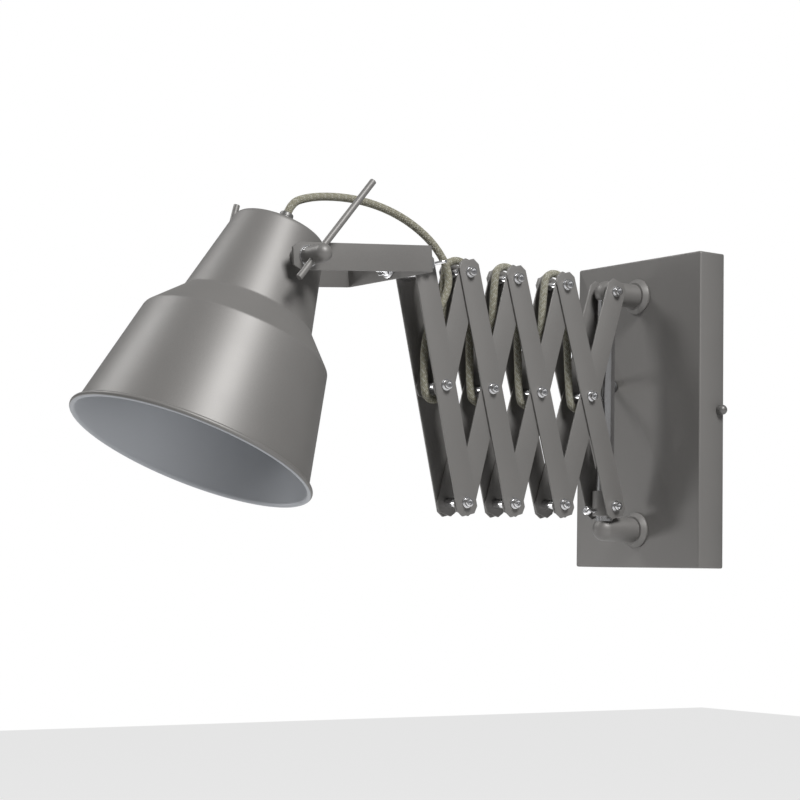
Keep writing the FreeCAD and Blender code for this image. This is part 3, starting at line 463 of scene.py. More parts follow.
class Nodes:
    """Adds nodes to one material's or world's tree."""

    def __init__(self, owner: bpy.types.Material | bpy.types.World) -> None:
        """Start the owner's tree afresh."""
        owner.use_nodes = True
        self.tree = owner.node_tree
        self.tree.nodes.clear()

    def add(self, kind: str, settings: dict | None = None, **inputs: object) -> bpy.types.Node:
        """One node of a type, with its attributes set and then its sockets, as fill does."""
        node = self.tree.nodes.new(kind)
        for name, value in (settings or {}).items():
            setattr(node, name, value)
        return self.fill(node, **inputs)

    def fill(self, node: bpy.types.Node, **inputs: object) -> bpy.types.Node:
        """Set or link a node's sockets, by name with spaces as underscores, or _0 by number."""
        for name, value in inputs.items():
            socket = node.inputs[int(name[1:]) if name[0] == "_" else name.replace("_", " ")]
            value = value.socket if isinstance(value, Wave) else value
            if isinstance(value, bpy.types.NodeSocket):
                self.tree.links.new(value, socket)
            else:
                socket.default_value = value
        return node

    def rays(self, *kinds: str) -> Wave:
        """1 for light rays of any of these kinds."""
        outputs = self.add("ShaderNodeLightPath").outputs
        seen = Wave(self, outputs[f"Is {kinds[0]} Ray"])
        for kind in kinds[1:]:
            seen = seen.most(Wave(self, outputs[f"Is {kind} Ray"]))
        return seen

    def math(self, operation: str, *values: "Wave | float") -> Wave:
        """A Math node of the values."""
        inputs = {f"_{i}": value for i, value in enumerate(values)}
        node = self.add("ShaderNodeMath", {"operation": operation}, **inputs)
        return Wave(self, node.outputs[0])

    def object_place(self) -> bpy.types.NodeSocket:
        """Each point's place in the row frame."""
        return self.add("ShaderNodeTexCoord").outputs["Object"]

    def noise(self, scale: float, detail: float = 2, roughness: float = 0.5) -> Wave:
        """Noise over the piece; scale is in bumps per metre."""
        node = self.add("ShaderNodeTexNoise", None, Vector=self.object_place(), Scale=scale,
                        Detail=detail, Roughness=roughness)
        return Wave(self, node.outputs[0])

    def surface_place(self) -> tuple[Wave, Wave]:
        """The place along the surface in metres, and round it from 0 to 1."""
        split = self.add("ShaderNodeSeparateXYZ", None,
                         Vector=self.add("ShaderNodeUVMap", {"uv_map": "surface"}).outputs[0])
        return Wave(self, split.outputs[0]), Wave(self, split.outputs[1])

    def blend(self, share: Wave, low: Sequence[float], high: Sequence[float]) -> object:
        """A colour between two, as a share goes from 0 to 1."""
        low, high = (colour if isinstance(colour, bpy.types.NodeSocket) else (*colour, 1)
                     for colour in (low, high))
        return self.add("ShaderNodeMix", {"data_type": "RGBA"}, _0=share, _6=low,
                        _7=high).outputs[2]

    def bump(self, height: Wave, distance: float, strength: float = 1.0) -> object:
        """A bump from a height of 0 to 1 times a distance in metres."""
        return self.add("ShaderNodeBump", None, Strength=strength, Distance=distance,
                        Height=height).outputs[0]


@dataclass(frozen=True)
class Finish:
    """A material with the same plain numbers all over, to which subclasses add their detail.

    Args:
        name: The material's name.
        slot: The name of a material slot; not used.
        colour: Base colour, linear.
        metallic: Metallic share.
        roughness: Roughness.
    """

    name: str
    slot: str
    colour: tuple[float, float, float]
    metallic: float = 0.0
    roughness: float = 0.5

    def detail(self, nodes: Nodes, shader: bpy.types.Node) -> None:
        """Add what changes over the surface."""

    def material(self) -> bpy.types.Material:
        """The material, made once and then shared."""
        found = bpy.data.materials.get(self.name)
        if found:
            return found
        made = bpy.data.materials.new(self.name)
        made.diffuse_color = (*self.colour, 1)
        nodes = Nodes(made)
        shader = nodes.add("ShaderNodeBsdfPrincipled", None, Base_Color=(*self.colour, 1),
                           Metallic=self.metallic, Roughness=self.roughness)
        nodes.add("ShaderNodeOutputMaterial", None, _0=shader.outputs[0])
        self.detail(nodes, shader)
        return made


def shade_of(colour: Sequence[float], gain: float) -> tuple[float, float, float]:
    """A colour made lighter or darker."""
    return tuple(min(1.0, c * gain) for c in colour)


@dataclass(frozen=True)
class SatinPaint(Finish):
    """Sprayed satin paint with metal flake: a fine speckle, and a faint orange-peel surface.

    Args:
        speckle: How far the flake lightens and darkens the colour.
        grain: Speckles per metre.
    """

    speckle: float = 0.16
    grain: float = 2600.0

    def detail(self, nodes: Nodes, shader: bpy.types.Node) -> None:
        """Speckle in the colour and gloss, cloud over the panel, and a fine bump."""
        fine = nodes.noise(self.grain, 3, 0.65)
        cloud = nodes.noise(14, 3)
        share = (fine - 0.5) * 1.5 + (cloud - 0.5) * 0.45 + 0.5
        low, high = shade_of(self.colour, 1 - self.speckle), shade_of(self.colour, 1 + self.speckle)
        nodes.fill(shader, Base_Color=nodes.blend(share, low, high),
                   Roughness=(fine - 0.5) * 0.22 + (cloud - 0.5) * 0.1 + self.roughness)
        peel = nodes.noise(1400, 2) * 0.6 + fine * 0.4
        nodes.fill(shader, Normal=nodes.bump(peel, 0.00005, 0.5))


@dataclass(frozen=True)
class Plating(Finish):
    """Bright plating, with a little haze and a slight change of tone."""

    def detail(self, nodes: Nodes, shader: bpy.types.Node) -> None:
        """Haze in the gloss, and a slight change of tone."""
        haze = nodes.noise(420, 4, 0.6)
        smear = nodes.noise(60, 2)
        nodes.fill(shader, Roughness=haze * 0.1 + smear * 0.06 + (self.roughness - 0.08),
                   Base_Color=nodes.blend(smear, shade_of(self.colour, 0.9),
                                          shade_of(self.colour, 1.06)))


@dataclass(frozen=True)
class Moulding(Finish):
    """Moulded plastic or rubber, with a fine spark texture."""

    def detail(self, nodes: Nodes, shader: bpy.types.Node) -> None:
        """Grain in the gloss and surface."""
        grain = nodes.noise(1800, 3, 0.6)
        nodes.fill(shader, Base_Color=nodes.blend(grain, shade_of(self.colour, 0.85),
                                                  shade_of(self.colour, 1.2)),
                   Roughness=(grain - 0.5) * 0.3 + self.roughness,
                   Normal=nodes.bump(grain, 0.00006, 0.6))


@dataclass(frozen=True)
class Braid(Finish):
    """A braided textile cable: two sets of yarns wound opposite ways, over and under.

    Args:
        yarns: Yarns wound each way.
        pitch: Cells per metre along the cable.
        light: The lighter yarns' colour.
        gap_and_trough_shade: The colour between the yarns, which also serves as painted shade where
            each yarn dips into the troughs.
    """

    yarns: int = 10
    pitch: float = 470.0
    light: tuple[float, float, float] = (0.42, 0.41, 0.34)
    gap_and_trough_shade: tuple[float, float, float] = (0.05, 0.048, 0.035)

    def detail(self, nodes: Nodes, shader: bpy.types.Node) -> None:
        """Yarn numbers p and q grow along each winding; a yarn's height is its arch's sine,
        and which winding is on top changes from cell to cell, as in a plain weave."""
        along, around = nodes.surface_place()
        p = along * self.pitch + around * self.yarns
        q = along * self.pitch - around * self.yarns
        turn = ((p.floor() + q.floor()) * 0.5).part().above(0.25)
        first = (p.part() * math.pi).sine()
        second = (q.part() * math.pi).sine()
        height = first * turn + second * (1 - turn)
        fibres = ((p * (1 - turn) + q * turn) * (math.pi * 5)).sine() * 0.5 + 0.5
        rise = (height * 0.85 + fibres * 0.15)
        picked = (((p.floor() * (1 - turn) + q.floor() * turn) * 0.3333 + 0.01).part()).above(0.6)
        fuzz = nodes.noise(2400, 2)
        tone = nodes.blend(picked, self.colour, self.light)
        # Painted shade: the colour darkens from each yarn's crown towards the dark between yarns,
        # following the arch's height.
        share = (height ** 0.7 * 1.15 + (fuzz - 0.5) * 0.5)
        nodes.fill(shader, Base_Color=nodes.blend(share.least(1.0).most(0.0), self.gap_and_trough_shade, tone),
                   Normal=nodes.bump(rise + fuzz * 0.12, 0.00035, 0.9))


@dataclass(frozen=True)
class SpunPaint(SatinPaint):
    """The shade's paint: satin outside, and a paler, cooler coat inside.

    Args:
        inside: The colour of the inner coat.
    """

    inside: tuple[float, float, float] = (0.40, 0.415, 0.44)

    def detail(self, nodes: Nodes, shader: bpy.types.Node) -> None:
        """As satin paint, with the inner coat where the inside attribute is 1."""
        super().detail(nodes, shader)
        outside = shader.inputs["Base Color"].links[0].from_socket
        mask = nodes.add("ShaderNodeAttribute", {"attribute_name": "inside"}).outputs["Fac"]
        coat = nodes.blend(nodes.noise(self.grain, 2), shade_of(self.inside, 0.93),
                           shade_of(self.inside, 1.07))
        nodes.fill(shader, Base_Color=nodes.blend(Wave(nodes, mask), outside, coat))


class Finishes:
    """The lamp's finishes, by what they are on."""

    grey = (0.19, 0.184, 0.177)
    paint = SatinPaint("satin_grey_paint", "painted", grey, 0.30, 0.50)
    shade = SpunPaint("spun_shade_paint", "painted", grey, 0.30, 0.50)
    trim = SatinPaint("dark_grey_trim", "painted_dark", (0.15, 0.147, 0.142), 0.4, 0.42)
    chrome = Plating("bright_chrome", "chrome", (0.70, 0.70, 0.71), 1.0, 0.17)
    steel = Plating("zinc_plated_steel", "steel", (0.52, 0.52, 0.51), 1.0, 0.36)
    brass = Plating("brass_contact", "brass", (0.68, 0.50, 0.22), 1.0, 0.27)
    rubber = Moulding("black_rubber", "rubber", (0.035, 0.035, 0.035), 0.0, 0.65)
    black = Moulding("black_holder", "black_plastic", (0.03, 0.03, 0.03), 0.0, 0.42)
    white = Moulding("white_terminal", "white_plastic", (0.66, 0.65, 0.61), 0.0, 0.48)
    braid = Braid("braided_cable", "cable", (0.30, 0.285, 0.215), 0.0, 0.85)


# ---- Making pieces ----

def placed(name: str, data: bpy.types.ID) -> bpy.types.Object:
    """A new object in the scene."""
    thing = bpy.data.objects.new(name, data)
    bpy.context.scene.collection.objects.link(thing)
    return thing


def make(name: str, surface: Surface, finish: Finish, body: str | None,
         nodes: Sequence[str] = (), crease: float = 32) -> bpy.types.Object:
    """Turn a surface in millimetres into a piece that rides on a body.

    Args:
        name: The piece's name.
        surface: Its skin.
        finish: Its finish.
        body: The body it moves with, or None, in which case it is not attached here.
        nodes: The solids that it stands for.
        crease: Angle in degrees above which an edge stays sharp.

    Returns:
        The object.
    """
    mesh = bpy.data.meshes.new(name)
    faces = [row for face in surface.faces for row in face.tolist()]
    mesh.from_pydata((surface.points * MM).tolist(), [], faces)
    spots = mesh.uv_layers.new(name="surface")
    spots.data.foreach_set("uv", np.concatenate([s.reshape(-1) for s in surface.spots]))
    mesh.polygons.foreach_set("use_smooth", np.ones(len(faces), bool))
    mesh.set_sharp_from_angle(angle=math.radians(crease))
    mesh.materials.append(finish.material())
    mesh.update()
    piece = placed(name, mesh)
    if body:
        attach(piece, body)
    if nodes:
        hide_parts(*nodes)
    log.info("%s: %d faces", name, len(faces))
    return piece


def dress(node: str, finish: Finish) -> None:
    """Give a solid that keeps its own shape a finish."""
    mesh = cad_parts[node].data
    mesh.materials.clear()
    mesh.materials.append(finish.material())
    log.info("%s: kept", node)


# ---- Where everything is ----

@dataclass(frozen=True)
class Layout:
    """The scissor's and head's places, worked out from the pivots as the solids are."""

    post_reach: float = 62.2
    post_up: float = 99.0
    half: float = 93.8
    head_angle: float = 13.8
    wall_angle: float = 17.3
    foot_offset: float = 0.4
    inner_face: float = 10.3
    strip: float = 1.5
    layer_gap: float = 0.2
    droop: float = 5.2
    shade_lean: float = -23.0
    yoke_forward: float = 24.6
    yoke_pivot: float = 112.3
    cells: int = 4
    grommet: tuple[float, float] = (-30, 24)
    gland_foot: float = 28.8
    gland_length: float = 15

    @property
    def outer_face(self) -> float:
        """The outer bars' inner face."""
        return self.inner_face + self.strip + self.layer_gap

    @property
    def stack(self) -> float:
        """The outer bars' outer face."""
        return self.outer_face + self.strip

    def lean(self, cell: int) -> float:
        """How far a cell's bars lean from upright, in degrees."""
        share = (cell - 1) / (self.cells - 1)
        return self.head_angle * (1 - share) + self.wall_angle * share

    def arm(self, cell: int, length: float | None = None) -> tuple[float, float]:
        """How far out and down a length of a cell's bar reaches."""
        angle = math.radians(self.lean(cell))
        length = self.half if length is None else length
        return math.sin(angle) * length, math.cos(angle) * length

    def top(self, cell: int) -> tuple[float, float]:
        """A top pivot as (y, z); 0 is the head's."""
        out = sum(2 * self.arm(c)[0] for c in range(cell + 1, self.cells + 1))
        return -self.post_reach - out, self.post_up

    def middle(self, cell: int) -> tuple[float, float]:
        """A cell's middle pivot."""
        (y, z), (out, down) = self.top(cell), self.arm(cell)
        return y - out, z - down

    def inner_foot(self, cell: int) -> tuple[float, float]:
        """An inner bar's foot pivot."""
        (y, z), (out, down) = self.middle(cell), self.arm(cell, self.half + self.foot_offset)
        return y - out, z - down

    def slider(self) -> tuple[float, float]:
        """The slider's pivot."""
        (y, z), (out, down) = self.middle(self.cells), self.arm(self.cells)
        return y + out, z - down

    def head(self, surface: Surface) -> Surface:
        """Carry a surface from the head's own frame to the lamp."""
        return surface.moved((0, *self.top(0)), about_x(self.droop))

    def shade_pivot(self) -> np.ndarray:
        """The middle of the axis that the shade tilts about."""
        reach = np.array([0, -self.yoke_forward - self.yoke_pivot, 0])
        return about_x(self.droop) @ reach + np.array([0, *self.top(0)])

    def shade(self, surface: Surface) -> Surface:
        """Carry a surface from the shade's own frame to the lamp."""
        return surface.moved(self.shade_pivot(), about_x(self.shade_lean))


AT = Layout()


# ---- Wall unit ----

@dataclass
class WallUnit:
    """The cover, posts, slide tube and what is inside the cover."""

    width: float = 150
    height: float = 260
    depth: float = 27
    sheet: float = 1.5
    corner: float = 2.0
    post: float = 10
    tube: float = 7.5
    tube_short: float = 4.1
    screw_inset: float = 4.3
    dome: float = 4.2
    dome_rise: float = 4.1

    def ring(self, inset: float) -> np.ndarray:
        """The cover's outline, drawn in, as (x, z)."""
        w, h = self.width / 2 - inset, self.height / 2 - inset
        return rounded([(-w, -h), (w, -h), (w, h), (-w, h)],
                       max(self.corner - inset * 0.6, 0.6), closed=True, steps=4)

    def cover(self) -> Surface:
        """One skin: out over the sides and face, and back along the inside."""
        edge, front = self.corner * 0.6, -self.depth
        angle = np.linspace(0, math.pi / 2, 5)
        outer = [(0.15, 0.0), (0.0, -0.15)]
        outer += [(edge * (1 - math.cos(a)), front + edge * (1 - math.sin(a))) for a in angle]
        inner = [(self.sheet, 0.0), (self.sheet, front + self.sheet)]
        rings = [(i, y) for i, y in inner[::-1]] + outer
        points = []
        for inset, y in rings:
            flat = self.ring(inset)
            points.append(np.stack([flat[:, 0], np.full(len(flat), y), flat[:, 1]], -1))
        return grid(np.stack(points))

    def post_skin(self, up: float) -> Surface:
        """A post with a ball end, from the cover out."""
        start = AT.post_reach - self.depth
        bar = domed([(self.post, 0)], self.post, start, self.post, 14, 56, flat=0.12)
        return bar.moved((0, -self.depth, up), Axis.OUT.matrix)

    def flange(self, up: float) -> Surface:
        """The coned ring at a post's foot, with a small quirk where it meets the cover."""
        ring = lathe([(10.2, 0), (15, 0), (15, 1.5), (12, 5), (10.4, 5)],
                     [0, 0.25, 0.6, 0.7, 0.3], 56, 4)
        return ring.moved((0, -self.depth, up), Axis.OUT.matrix)

    def tube_skin(self) -> Surface:
        """The slide tube, open bored."""
        half, bore = AT.post_up - self.tube_short, self.tube - self.sheet
        profile = [(self.tube, -half), (self.tube, half), (bore, half), (bore, -half)]
        return spun(np.array(profile), 48, ring=True).moved((0, -AT.post_reach, 0))

    def dome_screw(self, side: int) -> Surface:
        """A side screw: a short neck and a domed cap."""
        foot = [(self.dome - 0.6, 0), (self.dome, 0.35), (self.dome, 2.6)]
        skin = domed(foot, self.dome, 3, self.dome_rise, 9, 32, top=1)
        at = (side * (self.width / 2 + 0.05), -self.screw_inset, 0)
        return skin.moved(at, sideways(side).matrix)

    def grommet_skin(self) -> Surface:
        """The rubber bush in the cover's face."""
        bush = lathe([(3.3, -2), (6, -2), (6, -0.1), (4.5, -0.1), (4.5, 1.6), (6, 1.6),
                      (5.2, 3.9), (3.3, 3.9)], [0.5, 0.5, 0, 0, 0, 0.4, 0.9, 0.5], 40, ring=True)
        at = (AT.grommet[0], -self.depth + self.sheet, AT.grommet[1])
        return bush.moved(at, Axis.OUT.matrix)

    def build(self) -> None:
        """Make and dress the wall unit."""
        box = make("cover", self.cover(), Finishes.paint, "wall", ["wall_box"], crease=28)
        box.data.set_sharp_from_angle(angle=math.radians(50))
        ups = (AT.post_up, -AT.post_up)
        make("post_top", self.post_skin(ups[0]), Finishes.paint, "wall", ["upper_post"])
        make("post_foot", self.post_skin(ups[1]), Finishes.paint, "wall", ["lower_post"])
        make("flanges", joined(self.flange(up) for up in ups), Finishes.paint, "wall",
             ["post_flanges"])
        make("tube", self.tube_skin(), Finishes.chrome, "wall", ["slide_tube"])
        make("dome_screws", joined(self.dome_screw(s) for s in (1, -1)), Finishes.trim, "wall",
             ["side_screws"])
        make("grommet", self.grommet_skin(), Finishes.rubber, "wall", ["cable_grommet"])
        dress("wall_bracket", Finishes.steel)
        dress("post_bolts", Finishes.steel)
        dress("terminal_block", Finishes.white)


# ---- Scissor ----

@dataclass
class Fastener:
    """The cap screws and washers that every pivot has."""

    radius: float = 3.5
    high: float = 3.8
    across: float = 1.55
    deep: float = 2.0
    washer_radius: float = 4.6
    washer_thick: float = 0.8

    def at(self, face: float, y: float, z: float, side: int) -> Surface:
        """A washer and head on a face at x = face, on one side."""
        turn = sideways(side).matrix
        seat = side * (face + 0.1)
        disc = pin(self.washer_radius, 0, self.washer_thick, 0.25, flat=0.4)
        head = screw_head(self.radius, self.high, self.across, self.deep)
        return (disc.moved((seat, y, z), turn)
                + head.moved((seat + side * self.washer_thick, y, z), turn))

    def pair(self, face: float, y: float, z: float) -> Surface:
        """The near and the far one."""
        return self.at(face, y, z, 1) + self.at(face, y, z, -1)


@dataclass
class Scissor:
    """Sixteen flat bars in four cells, with their spacers and screws, and the slider."""

    width: float = 20
    end: float = 9.5
    clip_along: float = 5
    clip_across: float = 4
    edge: float = 0.32
    spacer: float = 4
    collar_bore: float = 7.6
    collar_radius: float = 10
    collar_length: float = 21
    collar_below: float = 8.3
    collar_boss: float = 4.5
    lock_below: float = 4
    lock_shank: float = 1.95
    lock_tip_out: float = 7.7
    lock_head_out: float = 17.5
    screw: Fastener = field(default_factory=Fastener)

    def outline(self, low: float, high: float) -> np.ndarray:
        """A bar with clipped corners as (y, z), from below its middle to above it."""
        w, along, across = self.width / 2, self.clip_along, self.clip_across
        low, high = -low - self.end, high + self.end
        corners = [(-w + across, low), (w - across, low), (w, low + along), (w, high - along),
                   (w - across, high), (-w + across, high), (-w, high - along), (-w, low + along)]
        return rounded(corners, 0.9, closed=True, steps=3)

    def bar(self, face: float, side: int, cell: int, lean: float, low: float) -> Surface:
        """A bar on one side of the lamp."""
        skin = plate(self.outline(low, AT.half), AT.strip, self.edge, 3)
        skin = skin.turned(Axis.UPRIGHT.matrix)
        start = face if side > 0 else -face - AT.strip
        return skin.moved((start, *AT.middle(cell)), about_x(lean)).outward()

    def spacer_skin(self, y: float, z: float) -> Surface:
        """The tube between the near and far bars."""
        half = AT.inner_face - 0.1
        return pin(self.spacer, -half, half, 0.2).moved((0, y, z), Axis.NEAR.matrix)

    def build_cell(self, cell: int) -> None:
        """One cell's four bars and its pivots."""
        lean = AT.lean(cell)
        for side in Side:
            tag = side.name.lower()
            make(f"outer_strip_{cell}_{tag}",
                 self.bar(AT.outer_face, side.value, cell, lean, AT.half),
                 Finishes.paint, f"outer_link_{cell}", [f"outer_bar_{cell}_{tag}"])
            low = AT.half + AT.foot_offset if cell > 1 else 0
            make(f"inner_strip_{cell}_{tag}",
                 self.bar(AT.inner_face, side.value, cell, -lean, low),
                 Finishes.paint, f"inner_link_{cell}", [f"inner_bar_{cell}_{tag}"])
        spots = [AT.middle(cell)]
        if cell < AT.cells:
            spots.append(AT.top(cell))
        if cell > 1:
            spots.append(AT.inner_foot(cell))
        make(f"spacers_{cell}", joined(self.spacer_skin(*spot) for spot in spots),
             Finishes.chrome, f"inner_link_{cell}", [f"pivot_spacers_{cell}"])
        make(f"screws_{cell}", joined(self.screw.pair(AT.stack, *spot) for spot in spots),
             Finishes.chrome, f"inner_link_{cell}", [f"pivot_screws_{cell}"])

    def collar(self) -> Surface:
        """The slider's sleeve and its side bosses."""
        y, up = AT.slider()
        bore, radius, length = self.collar_bore, self.collar_radius, self.collar_length
        sleeve = lathe([(bore, 0), (radius, 0), (radius, length), (bore, length)],
                       [0.3, 0.8, 0.8, 0.3], 56, ring=True)
        half = AT.outer_face - 0.1
        boss = pin(self.collar_boss, -half, half, 0.3).moved((0, y, up), Axis.NEAR.matrix)
        return sleeve.moved((0, y, up - self.collar_below)) + boss

    def lock(self) -> Surface:
        """The screw that nips the slider."""
        y, up = -AT.post_reach, AT.slider()[1] - self.lock_below
        head = screw_head(self.screw.radius, self.screw.high, self.screw.across + 0.05,
                          self.screw.deep)
        shank = spun([(self.lock_shank, 0), (self.lock_shank, 10)], 20)
        return (head.moved((0, y - self.lock_head_out, up), Axis.OUT.matrix)
                + shank.moved((0, y - self.lock_tip_out, up), Axis.OUT.matrix))

    def build(self) -> None:
        """Make and dress the scissor."""
        for cell in range(AT.cells, 0, -1):
            self.build_cell(cell)
        make("post_screws", self.screw.pair(AT.inner_face + AT.strip, *AT.top(AT.cells)),
             Finishes.chrome, "wall", ["post_pivot_screws"])
        make("collar", self.collar(), Finishes.paint, "slider", ["slider_collar"])
        make("collar_screws", self.screw.pair(AT.stack, *AT.slider()), Finishes.chrome, "slider",
             ["collar_pivot_screws"])
        make("lock", self.lock(), Finishes.chrome, "lock", ["lock_screw"])


# ---- Head and yoke ----

@dataclass
class Head:
    """The barrel between the last bars, its wing nuts, and the yoke."""

    barrel: float = 10
    stem: float = 7
    stem_length: float = 22.2
    stud: float = 2.95
    stud_half: float = 22
    yoke_width: float = 112
    yoke_reach: float = 125
    yoke_height: float = 20
    yoke_thick: float = 2
    clip_along: float = 5.7
    clip_across: float = 3.4
    bend: float = 2.4
    bolt: float = 3.95
    bolt_span: tuple[float, float] = (11.2, 36.5)
    nut_corner: float = 7.5
    nut_thick: float = 6
    wing_turn: float = 16

    def block(self) -> Surface:
        """The barrel across the bars, and the stem towards the yoke."""
        half = AT.outer_face - 0.3
        barrel = pin(self.barrel, -half, half, 0.5, 56, 3)
        stem = lathe([(0.5, 0), (self.stem, 0), (self.stem, self.stem_length),
                      (0.5, self.stem_length)], [0, 0, 0.4, 0])
        return AT.head(barrel.turned(Axis.NEAR.matrix)
                       + stem.turned(Axis.OUT.matrix))

    def washers(self) -> Surface:
        """Washers under the wing nuts and both sides of the cross-piece."""
        discs = [washer(6.2, self.stud + 0.1, 0.8).moved((s * (AT.stack + 0.1), 0, 0),
                                                       sideways(s).matrix) for s in (1, -1)]
        back, front = AT.yoke_forward - 2.3, AT.yoke_forward + 1.1
        discs += [washer(8.6, self.bolt + 0.1, 1.2).moved((0, -start, 0), Axis.OUT.matrix)
                  for start in (back, front)]
        return AT.head(joined(discs))

    def wing_nut(self, side: int) -> Surface:
        """A coned hub with a domed top and two rounded ears that spread as they rise."""
        hub = lathe([(0.5, 0), (5.5, 0), (4.5, 6), (3.6, 6.6), (0.5, 6.6)],
                    [0, 0.4, 0.8, 0.4, 0], 36)
        ears = []
        for way in (1, -1):
            ear = rounded([(3.2, 1.0), (5.4, 1.4), (10.4, 2.6), (14.5, 5.2), (14.5, 9.4),
                           (11.5, 11.6), (8.2, 10.2), (3.6, 6.4)],
                          [0, 2, 4, 3.5, 3.5, 4, 5, 0], closed=True, steps=5)
            ear = ear * np.array([way, 1])
            skin = plate(ear, 2.6, 0.9, 3).moved((0, 0, -1.3))
            skin = skin.turned(Axis.UPRIGHT.matrix)
            ears.append(skin.outward())
        seat = side * (AT.stack + 0.95)
        turn = about_x(self.wing_turn) @ sideways(side).matrix
        return (hub + joined(ears)).moved((seat, *AT.top(0)), turn)

    def yoke_skin(self) -> Surface:
        """The bent strip: a rounded section carried along the U, lower at its clipped tips."""
        half, tip = (self.yoke_width - self.yoke_thick) / 2, -self.yoke_reach
        clip = tip + self.clip_along
        path = rounded([(-half, tip), (-half, clip), (-half, 0), (half, 0), (half, clip),
                        (half, tip)], [0, 0, self.bend, self.bend, 0, 0], steps=6)
        heading = unit(np.gradient(path, axis=0))
        normal = np.stack([-heading[:, 1], heading[:, 0]], 1)
        t, h = self.yoke_thick / 2, self.yoke_height / 2
        ring = rounded([(-t, -h), (t, -h), (t, h), (-t, h)], 0.3, closed=True, steps=3)
        drop = np.where(path[:, 1] < clip - 1e-6, self.clip_across, 0.0)
        flat = path[:, None] + normal[:, None] * ring[None, :, :1]
        up = ring[None, :, 1] - np.sign(ring[None, :, 1]) * drop[:, None]
        points = np.concatenate([flat, up[..., None]], -1)
        return AT.head(grid(points).moved((0, -AT.yoke_forward, 0)))

    def build(self) -> None:
        """Make and dress the head and yoke."""
        make("barrel", self.block(), Finishes.chrome, "head", ["head_block"])
        stud = pin(self.stud - 0.05, -self.stud_half, self.stud_half, 0.6, 28, flat=0.4)
        make("cross_stud", AT.head(stud.turned(Axis.NEAR.matrix)), Finishes.chrome, "head",
             ["pivot_stud"])
        make("washers", self.washers(), Finishes.chrome, "head", ["head_washers"])
        start, end = self.bolt_span
        shank = self.bolt - 0.05
        bolt = lathe([(0.4, start), (shank, start), (shank, end), (0.4, end)], [0, 0, 0.8, 0], 32)
        make("bolt", AT.head(bolt.turned(Axis.OUT.matrix)), Finishes.chrome, "head",
             ["yoke_bolt"])
        hexed = nut(self.nut_corner * math.cos(math.pi / 6), self.nut_thick, self.bolt + 0.05)
        make("hex_nut", AT.head(hexed.moved((0, -AT.yoke_forward - 2.4, 0), Axis.OUT.matrix)),
             Finishes.chrome, "head", ["yoke_nut"])
        for side in Side:
            tag = side.name.lower()
            make(f"wings_{tag}", self.wing_nut(side.value), Finishes.chrome, f"wing_nut_{tag}",
                 [f"wing_nut_{tag}"])
        make("fork", self.yoke_skin(), Finishes.paint, "yoke", ["yoke"], crease=24)


# ---- Shade ----

